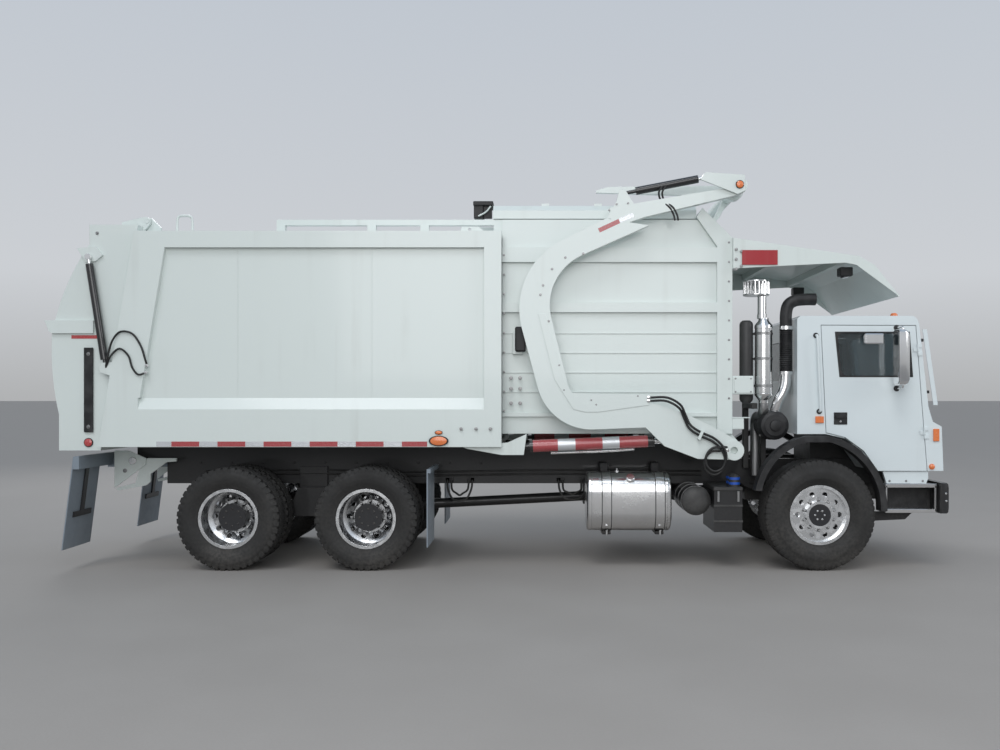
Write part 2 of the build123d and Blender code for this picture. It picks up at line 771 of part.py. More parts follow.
def tyre(x, z, centre, width, radius):
    """One tyre on a rim of the common size, centred on one Y."""
    half = width / 2
    shoulder = 0.42 * width
    bead = 0.36 * width
    crown = radius - 12
    with BuildSketch(wheel_plane_at(x, z)) as section:
        with BuildLine():
            for side in (-1, 1):
                Line((centre + side * bead, rim_radius), (centre + side * bead, rim_flange))
                ThreePointArc(
                    (centre + side * bead, rim_flange),
                    (centre + side * half, (rim_radius + radius) / 2),
                    (centre + side * shoulder, crown),
                )
                Line((centre + side * shoulder, crown), (centre + side * (shoulder - 18), radius))
            Line((centre - bead, rim_radius), (centre + bead, rim_radius))
            Line((centre - shoulder + 18, radius), (centre + shoulder - 18, radius))
        make_face()
    turn(section.sketch, x, z)


def rim_barrel(x, z, centre, width):
    """The well of one rim, under its tyre."""
    half = 0.36 * width
    outline = [
        (centre - half - 8, rim_flange),
        (centre - half, rim_flange),
        (centre - half, rim_radius),
        (centre + half, rim_radius),
        (centre + half, rim_flange),
        (centre + half + 8, rim_flange),
        (centre + half + 8, rim_radius - rim_wall),
        (centre - half - 8, rim_radius - rim_wall),
    ]
    with BuildSketch(wheel_plane_at(x, z)) as section:
        with BuildLine():
            Polyline(*outline, close=True)
        make_face()
    turn(section.sketch, x, z)


def ring(x, z, y_low, y_high, inner, outer, mode=Mode.ADD):
    """A round flat ring about the axle."""
    with BuildSketch(wheel_plane_at(x, z)) as section:
        with Locations(((y_low + y_high) / 2, (inner + outer) / 2)):
            Rectangle(y_high - y_low, outer - inner)
    revolve(section.sketch, axis=Axis((x, 0, z), (0, 1, 0)), mode=mode)


hand_hole_count = 10
hand_hole_radius = 26
hand_hole_circle = 212
hub_radius = 140


def hand_holes(x, z, y_low, y_high):
    """The ring of hand holes through the disc."""
    with BuildSketch(Plane.XZ.offset(-y_high)) as holes:
        with Locations((x, z)):
            with PolarLocations(hand_hole_circle, hand_hole_count):
                Circle(hand_hole_radius)
    extrude(holes.sketch, amount=y_high - y_low, mode=Mode.SUBTRACT)


spindle_radius = 45
front_disc = -front_tyre_centre - 100
with BuildPart() as front_tyre:
    tyre(front_axle_x, front_tyre_radius, -front_tyre_centre, front_tyre_width, front_tyre_radius)
save_pair("front_tyre", front_tyre.part)

with BuildPart() as front_rim:
    rim_barrel(front_axle_x, front_tyre_radius, -front_tyre_centre, front_tyre_width)
    ring(front_axle_x, front_tyre_radius, front_disc - 8, front_disc + 8, 0, rim_radius - 2)
    hand_holes(front_axle_x, front_tyre_radius, front_disc - 10, front_disc + 10)
    ring(front_axle_x, front_tyre_radius, front_disc - 60, front_disc + 8, 0, hub_radius)
    ring(front_axle_x, front_tyre_radius, front_disc + 8, front_disc + 150, spindle_radius + pin_gap, 205)
save_pair("front_rim", front_rim.part)

axle_tube_radius = 60
for place, axle_x in (("rear", rear_axle_xs[0]), ("middle", rear_axle_xs[1])):
    dual_middle = -rear_tyre_centre + dual_spacing / 2
    with BuildPart() as tyres:
        for centre in (-rear_tyre_centre, -rear_tyre_centre + dual_spacing):
            tyre(axle_x, rear_tyre_radius, centre, rear_tyre_width, rear_tyre_radius)
    save_pair(f"{place}_tyres", tyres.part)
    with BuildPart() as rims:
        for centre in (-rear_tyre_centre, -rear_tyre_centre + dual_spacing):
            rim_barrel(axle_x, rear_tyre_radius, centre, rear_tyre_width)
        for face in (-1, 1):
            low, high = sorted((dual_middle, dual_middle + face * 14))
            ring(axle_x, rear_tyre_radius, low, high, 0, 190)
        for face, centre in ((-1, -rear_tyre_centre), (1, -rear_tyre_centre + dual_spacing)):
            edge = centre - face * 0.36 * rear_tyre_width
            cone = [
                (dual_middle, 170),
                (dual_middle + face * 14, 170),
                (edge + face * 10, rim_radius - 6),
                (edge - face * 8, rim_radius - 6),
            ]
            with BuildSketch(wheel_plane_at(axle_x, rear_tyre_radius)) as section:
                with BuildLine():
                    Polyline(*cone, close=True)
                make_face()
            turn(section.sketch, axle_x, rear_tyre_radius)
        hand_holes(axle_x, rear_tyre_radius, dual_middle - 100, dual_middle + 100)
        ring(axle_x, rear_tyre_radius, dual_middle - 150, dual_middle + 60, 0, hub_radius)
        ring(axle_x, rear_tyre_radius, dual_middle + 60, dual_middle + 260, 0, 205)
        rod_across(
            (axle_x, rear_tyre_radius), axle_tube_radius + pin_gap, dual_middle - 60, dual_middle + 300,
            mode=Mode.SUBTRACT,
        )
    save_pair(f"{place}_rims", rims.part)

# Front axle beam with its springs, and the knuckles on its kingpins
kingpin_radius = 24
boss_radius = 50
boss_half = 55
with BuildPart() as front_axle:
    axle_z = front_tyre_radius
    block((front_axle_x - 45, front_axle_x + 45), (-kingpin_half + 20, kingpin_half - 20), (axle_z - 55, axle_z + 45))
    for side in (-1, 1):
        rod_up(front_axle_x, side * kingpin_half, boss_radius, axle_z - boss_half, axle_z + boss_half)
        rod_up(
            front_axle_x, side * kingpin_half, kingpin_radius + pin_gap, axle_z - boss_half, axle_z + boss_half,
            mode=Mode.SUBTRACT,
        )
        low, high = sorted((side * (rail_half - rail_width), side * rail_half))
        leaf = shifted(
            [(-620, 258), (-560, 258), (-100, 90), (100, 90), (560, 258), (620, 258), (620, 230), (120, 45), (-120, 45), (-620, 230)],
            (front_axle_x, axle_z),
        )
        plate(leaf, low, high)
save("front_axle", front_axle.part)

with BuildPart() as knuckle:
    web = -kingpin_half - boss_radius - 6
    for z_low, z_high in ((boss_half + 2, boss_half + 32), (-boss_half - 32, -boss_half - 2)):
        rod_up(front_axle_x, -kingpin_half, boss_radius, axle_z + z_low, axle_z + z_high)
        block(
            (front_axle_x - 40, front_axle_x + 40), (web - 24, -kingpin_half), (axle_z + z_low, axle_z + z_high)
        )
    block((front_axle_x - 60, front_axle_x + 60), (web - 24, web), (axle_z - boss_half - 32, axle_z + boss_half + 32))
    rod_up(front_axle_x, -kingpin_half, kingpin_radius, axle_z - boss_half - 32, axle_z + boss_half + 32)
    rod_across((front_axle_x, axle_z), spindle_radius, front_disc + 12, web)
save_pair("knuckle", knuckle.part)

# Rear axles with their walking beams
with BuildPart() as rear_axles:
    tube_end = rear_tyre_centre - dual_spacing / 2 + 50
    for axle_x in rear_axle_xs:
        rod_across((axle_x, rear_tyre_radius), axle_tube_radius, -tube_end, tube_end)
        with Locations((axle_x, 0, rear_tyre_radius)):
            Sphere(210)
    for side in (-1, 1):
        low, high = sorted((side * 455, side * 535))
        beam_side = shifted(
            [(-800, -50), (800, -50), (800, 60), (200, 130), (150, 260), (-150, 260), (-200, 130), (-800, 60)],
            (tandem_x, rear_tyre_radius),
        )
        plate(beam_side, low, high)
        low, high = sorted((side * rail_half, side * 455))
        block((tandem_x - 150, tandem_x + 150), (low, high), (rear_tyre_radius + 180, rear_tyre_radius + 480))
save("rear_axles", rear_axles.part)

# Engine, as one plain mass, and the shaft to the tandem
gearbox_back_x = cab_back_x - 340
with BuildPart() as engine:
    block((cab_back_x + 350, cab_front_x - 330), (-330, 330), (640, tunnel_top - 60))
    block((gearbox_back_x, cab_back_x + 350), (-220, 220), (620, 1000))
save("engine", engine.part)

with BuildPart() as driveshaft:
    shaft_start = (gearbox_back_x - 5, 730)
    shaft_end = along((rear_axle_xs[1], rear_tyre_radius), shaft_start, 216)
    rod_between(shaft_start, shaft_end, 0, 55)
save("driveshaft", driveshaft.part)

# Tanks and boxes along the chassis
with BuildPart() as fuel_tank:
    tank_x = (seam_x + 868, seam_x + 1741)
    tank_z = 680
    tank_y = -cab_half + 250
    with BuildSketch(Plane.YZ.offset(tank_x[0])):
        with Locations((tank_y, tank_z)):
            RectangleRounded(500, 609, 200)
    extrude(amount=tank_x[1] - tank_x[0])
    for strap_x in (tank_x[0] + 150, tank_x[1] - 150):
        block((strap_x - 20, strap_x + 20), (-rail_half - 170, -rail_half), (frame_top - 240, frame_top - 20))
save("fuel_tank", fuel_tank.part)

with BuildPart() as side_boxes:
    # Air tank and battery box on the right, battery box and tool box on the left
    rod_across((seam_x + 2000, 692), 150, -1000, -rail_half)
    block((seam_x + 2173, seam_x + 2461), (-1080, -rail_half), (380, 835))
    block((seam_x + 900, seam_x + 1700), (rail_half, 1080), (500, 950))
    rod_across((seam_x + 2000, 692), 150, rail_half, 1000)
save("side_boxes", side_boxes.part)

# Exhaust and air intake behind the cab
with BuildPart() as exhaust:
    rod_up(cab_back_x - 309, -950, 93, 1700, 2580)
    rod_up(cab_back_x - 326, -950, 45, 2580, 2812)
    rod_up(cab_back_x - 386, -950, 135, 2812, 2966)
    rod_up(cab_back_x - 475, -890, 70, 1700, 2560)
    rod_across((cab_back_x - 309, 1780), 55, -950, -500)
    rod_up(cab_back_x - 309, -560, 50, 900, 1780)
    block((cab_back_x - 420, cab_back_x - 360), (-900, -rail_half), (1640, 1700))
    block((cab_back_x - 420, cab_back_x - 360), (-rail_half - 60, -rail_half), (frame_top - 100, 1700))
save("exhaust", exhaust.part)

with BuildPart() as air_intake:
    rod_up(cab_back_x - 76, -950, 68, 1500, 2660)
    rod_across((cab_back_x - 210, 1470), 155, -1080, -700)
    block((cab_back_x - 230, cab_back_x - 170), (-700, -rail_half), (1380, 1440))
    block((cab_back_x - 230, cab_back_x - 170), (-rail_half - 60, -rail_half), (frame_top - 100, 1440))
save("air_intake", air_intake.part)

# Mud flaps and the guard bar at the back
with BuildPart() as mudflaps:
    for side in (-1, 1):
        low, high = sorted((side * 600, side * 1190))
        flap = shifted([(0, 0), (12, 0), (-108, -950), (-120, -950)], (rear_axle_xs[0] - 1560, 1160))
        plate(flap, low, high)
        front_flap = shifted([(0, 0), (12, 0), (12, -750), (0, -750)], (rear_axle_xs[1] + 620, 990))
        plate(front_flap, low, high)
        low, high = sorted((side * (rail_half - rail_width), side * 1190))
        block((rear_axle_xs[0] - 1560, rear_axle_xs[0] - 1500), (low, high), (1030, 1160))
        low, high = sorted((side * rail_half, side * 1190))
        block((rear_axle_xs[1] + 620, rear_axle_xs[1] + 660), (low, high), (990, 1030))
    for side in (-1, 1):
        inner, outer = sorted((side * (rail_half - rail_width), side * rail_half))
        block((rear_axle_xs[0] - 1560, frame_back_x), (inner, outer), (1000, frame_top))
save("mudflaps", mudflaps.part)

# Lift arms: C-shaped boxes that reach from the pivot round the hopper to the fork shaft
arm_mid = -arm_inner - arm_thickness / 2
arm_outer = -arm_inner - arm_thickness


def arm_outline():
    """The arm's side outline about its pivot, with its three bends rounded."""
    with BuildSketch(Plane.XZ.offset(arm_inner)) as profile:
        with BuildLine():
            Polyline(*shifted(
                [(-1289, 2332), (-2297, 1836), (-1854, 192), (-889, 231), (-697, 42), (-364, -85), (10, -94),
                 (94, 0), (60, 80), (-111, 184), (-475, 366), (-778, 467), (-1629, 500), (-1947, 1775), (-855, 2262)],
                arm_pivot), close=True)
        make_face()
    return profile.sketch


with BuildPart() as arm:
    extrude(arm_outline(), amount=arm_thickness)
    bend_radii = ((-2297, 1836, 772), (-1854, 192, 560), (-1947, 1775, 550), (-1629, 500, 150))
    for bend_x, bend_z, bend_radius in bend_radii:
        bend = (arm_pivot[0] + bend_x, arm_mid, arm_pivot[1] + bend_z)
        fillet(arm.edges().filter_by(Axis.Y).sort_by_distance(bend)[0], bend_radius)
    # Slim head that carries the fork shaft
    head = shifted([(-1250, 2440), (51, 2660), (100, 2600), (-6, 2559), (-900, 2345), (-1230, 2230)], arm_pivot)
    plate(head, arm_outer, -arm_inner)
    rod_across(fork_pivot, 85, arm_outer, -arm_inner)
    rod_across(fork_pivot, 45 + pin_gap, arm_outer, -arm_inner, mode=Mode.SUBTRACT)
    rod_across(arm_pivot, 100, arm_outer - 10, -arm_inner)
    rod_across(arm_pivot, 37, arm_outer - 11, arm_outer + 40, mode=Mode.SUBTRACT)
    # Ears for the fork cylinder's base pin
    fork_base = (fork_pivot[0] - 1173, fork_pivot[1] - 78)
    ears = shifted([(-160, -260), (-60, -87), (-30, 30), (30, 30), (122, -120), (122, -260)], fork_base)
    for low, high in ((arm_outer, arm_outer + 18), (-arm_inner - 18, -arm_inner)):
        plate(ears, low, high)
    rod_across(fork_base, 20, arm_outer, -arm_inner)
save_pair("arm", arm.part)

with BuildPart() as torque_tube:
    rod_across(arm_pivot, torque_tube_radius, -arm_inner, arm_inner)
save("torque_tube", torque_tube.part)

# Fork shaft with its cranks and container stops
crank_pin = (fork_pivot[0] - 339, fork_pivot[1] + 84)
with BuildPart() as fork_shaft:
    rod_across(fork_pivot, 65, -arm_inner + 6, arm_inner - 6)
    crank = shifted([(-345, 124), (50, 98), (58, -60), (-20, -95), (-390, 50)], fork_pivot)
    for side in (-1, 1):
        low, high = sorted((side * (arm_inner + arm_thickness + 6), side * (arm_inner + arm_thickness + 30)))
        plate(crank, low, high)
        rod_across(fork_pivot, 45, *sorted((side * (arm_inner - 10), side * (arm_inner + arm_thickness + 30))))
        low, high = sorted((side * 620, side * 680))
        stop = shifted([(-30, 20), (20, -30), (-95, -222), (-135, -195)], fork_pivot)
        plate(stop, low, high)
        pad = shifted([(-135, -195), (-95, -222), (-130, -262), (-170, -230)], fork_pivot)
        plate(pad, *sorted((side * 590, side * 710)))
save("fork_shaft", fork_shaft.part)

with BuildPart() as fork:
    blade = shifted([(0, 60), (-1300, 45), (-fork_length, 10), (-fork_length, -15), (0, -60)], fork_pivot)
    plate(blade, -fork_half - 22, -fork_half + 22)
    rod_across(fork_pivot, 100, -fork_half - 40, -fork_half + 40)
    rod_across(fork_pivot, 65, -fork_half - 41, -fork_half + 41, mode=Mode.SUBTRACT)
save_pair("fork", fork.part)


# Hydraulic cylinders: a barrel from the base pin, and a rod that stops short of the pin it pushes
def barrel(base, tip, y, width, pin_radius, barrel_radius, bore, neck, length):
    """The barrel with its base eye on a neck."""
    rod_across(base, barrel_radius - 4, y - width / 2, y + width / 2)
    rod_between(base, along(base, tip, neck), y, width / 2 - 3)
    rod_between(along(base, tip, neck), along(base, tip, neck + 20), y, barrel_radius)
    rod_between(along(base, tip, neck + 20), along(base, tip, length), y, barrel_radius, bore)
    rod_across(base, pin_radius + pin_gap, y - width / 2, y + width / 2, mode=Mode.SUBTRACT)


def piston_rod(base, tip, y, width, rod_radius, eye_radius, inside):
    """The rod with its eye, reaching down into the barrel."""
    rod_between(along(base, tip, inside), along(base, tip, hypot(tip[0] - base[0], tip[1] - base[1])), y, rod_radius)
    rod_across(tip, eye_radius, y - width / 2, y + width / 2)


lift_tip = (arm_pivot[0] - 680, arm_pivot[1] + 93)
gate_tip = gate_rod_pin
cylinder_table = (
    # name, base, tip, half, eye width, pin, barrel radius, bore, neck, length, rod radius, eye radius, rod start
    ("lift", lift_base, lift_tip, lift_cylinder_half, 60, lift_pin_radius, 62, 50, 120, 1390, 34, 48, 150),
    ("fork", fork_base, crank_pin, arm_inner + arm_thickness / 2, 44, 20, 40, 30, 140, 780, 18, 32, 170),
    ("tailgate", gate_base, gate_tip, gate_cylinder_half, 40, gate_pin_radius, 38, 28, 80, 1060, 17, 30, 110),
)
for name, base, tip, half, width, pin_radius, barrel_radius, bore, neck, length, rod_radius, eye_radius, start in (
    cylinder_table
):
    with BuildPart() as barrels:
        barrel(base, tip, -half, width, pin_radius, barrel_radius, bore, neck, length)
        mirror(about=Plane.XZ)
    save(f"{name}_cylinder_barrels", barrels.part)
    with BuildPart() as rods:
        piston_rod(base, tip, -half, width, rod_radius, eye_radius, start)
        mirror(about=Plane.XZ)
    save(f"{name}_cylinder_rods", rods.part)
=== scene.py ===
# %% [markdown]
# # A front-loading garbage truck
# The truck stands on a pale floor, seen from its right side as it would be photographed in a
# yard. Its pieces, joints and sizes come ready made in the frame; this lesson adds the finish of
# every surface and the small things that a maker fits last: tread, nuts, hoses, tape and lamps.

# %% Load the frame
import json
import math

import bmesh
import bpy
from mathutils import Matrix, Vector


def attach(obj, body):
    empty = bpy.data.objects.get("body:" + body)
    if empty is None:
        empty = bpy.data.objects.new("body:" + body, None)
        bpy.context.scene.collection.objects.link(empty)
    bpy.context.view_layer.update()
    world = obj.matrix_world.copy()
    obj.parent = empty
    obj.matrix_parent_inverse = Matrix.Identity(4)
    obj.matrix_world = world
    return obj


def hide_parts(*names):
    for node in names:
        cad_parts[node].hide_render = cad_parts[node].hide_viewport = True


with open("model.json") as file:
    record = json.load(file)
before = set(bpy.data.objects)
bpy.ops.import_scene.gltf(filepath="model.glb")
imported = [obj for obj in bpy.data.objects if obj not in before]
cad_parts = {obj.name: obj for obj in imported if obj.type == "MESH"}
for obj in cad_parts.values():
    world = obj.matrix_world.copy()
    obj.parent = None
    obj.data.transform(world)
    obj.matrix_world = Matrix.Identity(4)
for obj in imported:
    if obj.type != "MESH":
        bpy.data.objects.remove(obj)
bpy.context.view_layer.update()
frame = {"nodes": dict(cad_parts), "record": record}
nodes = frame["nodes"]
sides = ((-1, "right"), (1, "left"))

# %% [markdown]
# ## Camera
# The photograph looks square at the truck's side from about eleven metres, at eye height. The
# lens axis points a little ahead of the picture's middle, so the camera gets a small shift
# instead of a turn: a turn would make the long roof line slope.

# %% Camera
camera_data = bpy.data.cameras.new("camera")
camera_data.sensor_width = 36
camera_data.lens = 33.84
camera_data.shift_x = -0.04
camera_data.shift_y = 0.022
camera_data.clip_end = 900
camera = bpy.data.objects.new("camera", camera_data)
camera.location = (0.445, -10.7, 1.763)
camera.rotation_euler = (math.radians(90), 0, 0)
bpy.context.scene.collection.objects.link(camera)
bpy.context.scene.camera = camera

# %% [markdown]
# White paint shows its shape only where the light changes over it. One big soft light stands
# high on the camera's side, a weaker one fills from the nose, one lights the roof from behind,
# and a wide soft sun stands for the cloudy sky. The world is a plain gradient that chrome and
# polished alloy can mirror: pale over the horizon, bluer overhead and grey under it.

# %% Light


def area_light(name, place, target, size, power):
    """A square soft light that points at a target."""
    data = bpy.data.lights.new(name, "AREA")
    data.size = size
    data.energy = power
    light = bpy.data.objects.new(name, data)
    light.location = place
    light.rotation_euler = (Vector(target) - Vector(place)).to_track_quat("-Z", "Y").to_euler()
    bpy.context.scene.collection.objects.link(light)


area_light("key_light", (0, -14, 6.5), (0, 0, 1.8), 9, 620)
area_light("nose_light", (13, -5, 6), (3, 0, 1.5), 5, 260)
area_light("back_light", (-6, 11, 10), (0, 0, 1.5), 9, 500)
sun_data = bpy.data.lights.new("cloudy_sun", "SUN")
sun_data.energy = 0.75
sun_data.angle = math.radians(25)
sun = bpy.data.objects.new("cloudy_sun", sun_data)
sun.rotation_euler = (math.radians(32), math.radians(-12), 0)
bpy.context.scene.collection.objects.link(sun)

world = bpy.data.worlds.new("yard_sky")
world.use_nodes = True
bpy.context.scene.world = world
sky_nodes, sky_links = world.node_tree.nodes, world.node_tree.links
sky_place = sky_nodes.new("ShaderNodeTexCoord")
sky_height = sky_nodes.new("ShaderNodeSeparateXYZ")
sky_ramp = sky_nodes.new("ShaderNodeValToRGB")
sky_tones = (
    (0.0, (0.44, 0.44, 0.44)),
    (0.499, (0.58, 0.59, 0.60)),
    (0.56, (0.80, 0.83, 0.87)),
    (1.0, (0.50, 0.62, 0.78)),
)
sky_ramp.color_ramp.elements[0].position = sky_tones[0][0]
sky_ramp.color_ramp.elements[0].color = (*sky_tones[0][1], 1)
sky_ramp.color_ramp.elements[1].position = sky_tones[-1][0]
sky_ramp.color_ramp.elements[1].color = (*sky_tones[-1][1], 1)
for position, tone in sky_tones[1:-1]:
    sky_ramp.color_ramp.elements.new(position).color = (*tone, 1)
sky_shift = sky_nodes.new("ShaderNodeMapRange")
sky_shift.inputs["From Min"].default_value = -1
sky_links.new(sky_place.outputs["Generated"], sky_height.inputs[0])
sky_links.new(sky_height.outputs["Z"], sky_shift.inputs["Value"])
sky_links.new(sky_shift.outputs["Result"], sky_ramp.inputs[0])
sky_links.new(sky_ramp.outputs["Color"], sky_nodes["Background"].inputs["Color"])
sky_nodes["Background"].inputs["Strength"].default_value = 0.75
bpy.context.scene.view_settings.view_transform = "Standard"

# %% [markdown]
# ## A short way to wire nodes
# A material is a small network. A few helpers keep each network readable: they add a node with
# its inputs, do a sum, blend two colours or numbers by a mask, or make a cloudy value.

# %% Node helpers


def add_node(tree, kind, settings=None, **inputs):
    """A node with its settings, whose inputs are values or other nodes' outputs."""
    made = tree.nodes.new(kind)
    for field, value in (settings or {}).items():
        setattr(made, field, value)
    for field, value in inputs.items():
        give(tree, made.inputs[field.replace("_", " ")], value)
    return made


def give(tree, socket, value):
    """Feeds a socket with a value or with another socket."""
    if isinstance(value, bpy.types.NodeSocket):
        tree.links.new(value, socket)
    else:
        socket.default_value = value


def sum_up(tree, operation, *values, clamp=False):
    """One arithmetic step."""
    made = add_node(tree, "ShaderNodeMath", {"operation": operation, "use_clamp": clamp})
    for number, value in enumerate(values):
        give(tree, made.inputs[number], value)
    return made.outputs[0]


def blend(tree, mask, first, second, colour=True):
    """Goes from the first colour or number to the second by a mask."""
    made = add_node(tree, "ShaderNodeMix", {"data_type": "RGBA" if colour else "FLOAT"})
    give(tree, made.inputs[0], mask)
    give(tree, made.inputs[6 if colour else 2], first)
    give(tree, made.inputs[7 if colour else 3], second)
    return made.outputs[2 if colour else 0]


def noise(tree, place, scale, detail=3.0, stretch=(1, 1, 1)):
    """A cloudy value over the surface, stretched along an axis if wanted."""
    mapped = add_node(tree, "ShaderNodeMapping", Vector=place, Scale=stretch)
    made = add_node(tree, "ShaderNodeTexNoise", Vector=mapped.outputs[0], Scale=scale, Detail=detail)
    return made.outputs["Fac"]


def ramp(tree, value, low, high):
    """Spreads a value's middle range over nought to one."""
    made = add_node(tree, "ShaderNodeMapRange", {"interpolation_type": "SMOOTHSTEP"}, Value=value)
    made.inputs["From Min"].default_value = low
    made.inputs["From Max"].default_value = high
    return made.outputs["Result"]


colour_socket, number_socket, vector_socket = "NodeSocketColor", "NodeSocketFloat", "NodeSocketVector"


def start_group(name, takes, gives):
    """An empty node group with named inputs and outputs."""
    tree = bpy.data.node_groups.new(name, "ShaderNodeTree")
    for label, kind in takes.items():
        tree.interface.new_socket(label, in_out="INPUT", socket_type=kind)
    for label, kind in gives.items():
        tree.interface.new_socket(label, in_out="OUTPUT", socket_type=kind)
    return tree, tree.nodes.new("NodeGroupInput").outputs, tree.nodes.new("NodeGroupOutput").inputs


def here(tree):
    """The place on the object, in metres."""
    return tree.nodes.new("ShaderNodeTexCoord").outputs["Object"]


# %% [markdown]
# ## Road dust
# A truck that drives in a yard is cleanest at its roof and palest with dust near the road. The
# dust is one node group that every finish shares: it fades with height and breaks into patches
# by two noises. Painting it by hand would look alike, but it couldn't follow a changed size.

# %% Road dust group
road_dust, given, result = start_group(
    "road_dust",
    {"Colour": colour_socket, "Roughness": number_socket, "Amount": number_socket, "Reach": number_socket},
    {"Colour": colour_socket, "Roughness": number_socket},
)
place = here(road_dust)
height = add_node(road_dust, "ShaderNodeSeparateXYZ", Vector=place).outputs["Z"]
share = sum_up(road_dust, "DIVIDE", height, given["Reach"], clamp=True)
fade = sum_up(road_dust, "SUBTRACT", 1.0, share)
patches = ramp(road_dust, noise(road_dust, place, 2.2, 5), 0.3, 0.8)
grains = ramp(road_dust, noise(road_dust, place, 38, 3), 0.25, 0.75)
dusty = sum_up(road_dust, "MULTIPLY", fade, sum_up(road_dust, "ADD", patches, 0.25))
dusty = sum_up(road_dust, "MULTIPLY", dusty, sum_up(road_dust, "ADD", grains, 0.35))
dusty = sum_up(road_dust, "MULTIPLY", dusty, given["Amount"], clamp=True)
dust_tone = (0.36, 0.33, 0.29, 1)
give(road_dust, result["Colour"], blend(road_dust, dusty, given["Colour"], dust_tone))
give(road_dust, result["Roughness"], blend(road_dust, dusty, given["Roughness"], 0.85, colour=False))

# %% [markdown]
# ## Rain streaks
# Water runs straight down a tall white side and leaves faint grey lines. A noise that is
# stretched tall and thin gives the lines, and only its peaks are let through.

# %% Rain streaks group
rain_streaks, given, result = start_group(
    "rain_streaks", {"Colour": colour_socket, "Amount": number_socket}, {"Colour": colour_socket}
)
place = here(rain_streaks)
lines = ramp(rain_streaks, noise(rain_streaks, place, 6, 4, (1, 1, 0.05)), 0.52, 0.78)
broken = ramp(rain_streaks, noise(rain_streaks, place, 1.1, 3), 0.35, 0.7)
streaked = sum_up(rain_streaks, "MULTIPLY", sum_up(rain_streaks, "MULTIPLY", lines, broken), given["Amount"])
give(rain_streaks, result["Colour"], blend(rain_streaks, streaked, given["Colour"], (0.34, 0.34, 0.30, 1)))

# %% [markdown]
# ## Soft edges
# Pressed and welded sheet has no razor edge: its corners catch a line of light. The bevel node
# bends the normal near an edge without new geometry, and where it bends most the coat is
# thinnest, so the same group gives a mask for wear.

# %% Soft edges group
soft_edges, given, result = start_group(
    "soft_edges", {"Radius": number_socket}, {"Normal": vector_socket, "Edge": number_socket}
)
rounded = add_node(soft_edges, "ShaderNodeBevel", {"samples": 4}, Radius=given["Radius"]).outputs["Normal"]
flat = soft_edges.nodes.new("ShaderNodeNewGeometry").outputs["Normal"]
facing = add_node(soft_edges, "ShaderNodeVectorMath", {"operation": "DOT_PRODUCT"})
give(soft_edges, facing.inputs[0], rounded)
give(soft_edges, facing.inputs[1], flat)
turned_away = sum_up(soft_edges, "SUBTRACT", 1.0, facing.outputs["Value"])
give(soft_edges, result["Normal"], rounded)
give(soft_edges, result["Edge"], sum_up(soft_edges, "MULTIPLY", turned_away, 5.0, clamp=True))

# %% [markdown]
# ## Sprayed coat
# Sprayed paint dries with a faint peel, and a wide welded sheet is never quite flat. Both show
# only in what the gloss mirrors, so they are a height for a bump and not a shape.

# %% Sprayed coat group
sprayed_coat, given, result = start_group(
    "sprayed_coat", {"Waviness": number_socket}, {"Height": number_socket}
)
place = here(sprayed_coat)
peel = sum_up(sprayed_coat, "MULTIPLY", noise(sprayed_coat, place, 160, 2), 0.10)
wave = sum_up(sprayed_coat, "MULTIPLY", noise(sprayed_coat, place, 1.3, 2), given["Waviness"])
give(sprayed_coat, result["Height"], sum_up(sprayed_coat, "ADD", peel, wave))

# %% [markdown]
# ## Brushed metal
# Rolled and polished metal keeps fine lines from the wheel that polished it. A noise stretched
# along one axis changes the roughness and the tone a little from line to line.

# %% Brushed metal group
brushed_metal, given, result = start_group(
    "brushed_metal",
    {"Colour": colour_socket, "Roughness": number_socket, "Stretch": vector_socket},
    {"Colour": colour_socket, "Roughness": number_socket, "Height": number_socket},
)
place = here(brushed_metal)
mapped = add_node(brushed_metal, "ShaderNodeMapping", Vector=place, Scale=given["Stretch"]).outputs[0]
hairs = add_node(brushed_metal, "ShaderNodeTexNoise", Vector=mapped, Scale=60.0, Detail=4.0).outputs["Fac"]
smudges = ramp(brushed_metal, noise(brushed_metal, place, 5, 4), 0.35, 0.75)
rough = sum_up(brushed_metal, "ADD", given["Roughness"], sum_up(brushed_metal, "MULTIPLY", hairs, 0.12))
rough = sum_up(brushed_metal, "ADD", rough, sum_up(brushed_metal, "MULTIPLY", smudges, 0.10))
worn = sum_up(brushed_metal, "MULTIPLY", smudges, 0.25)
give(brushed_metal, result["Colour"], blend(brushed_metal, worn, given["Colour"], (0.50, 0.50, 0.50, 1)))
give(brushed_metal, result["Roughness"], rough)
give(brushed_metal, result["Height"], hairs)

# %% [markdown]
# ## Wheel turning
# A cast wheel is turned on a lathe, which leaves rings about its axle, and its hub is black.
# Both depend only on the distance from the axle, so the group takes the axle's place.

# %% Wheel turning group
wheel_turning, given, result = start_group(
    "wheel_turning",
    {"Axle X": number_socket, "Axle Z": number_socket, "Hub radius": number_socket},
    {"Rings": number_socket, "Hub": number_socket, "Brake dust": number_socket},
)
place = here(wheel_turning)
spot = add_node(wheel_turning, "ShaderNodeSeparateXYZ", Vector=place)
from_axle_x = sum_up(wheel_turning, "SUBTRACT", spot.outputs["X"], given["Axle X"])
from_axle_z = sum_up(wheel_turning, "SUBTRACT", spot.outputs["Z"], given["Axle Z"])
square = sum_up(wheel_turning, "MULTIPLY", from_axle_x, from_axle_x)
square = sum_up(wheel_turning, "ADD", square, sum_up(wheel_turning, "MULTIPLY", from_axle_z, from_axle_z))
radius = sum_up(wheel_turning, "SQRT", square)
cut = sum_up(wheel_turning, "SINE", sum_up(wheel_turning, "MULTIPLY", radius, 2400.0))
give(wheel_turning, result["Rings"], cut)
give(wheel_turning, result["Hub"], sum_up(wheel_turning, "LESS_THAN", radius, given["Hub radius"]))
film = ramp(wheel_turning, noise(wheel_turning, place, 14, 4), 0.4, 0.8)
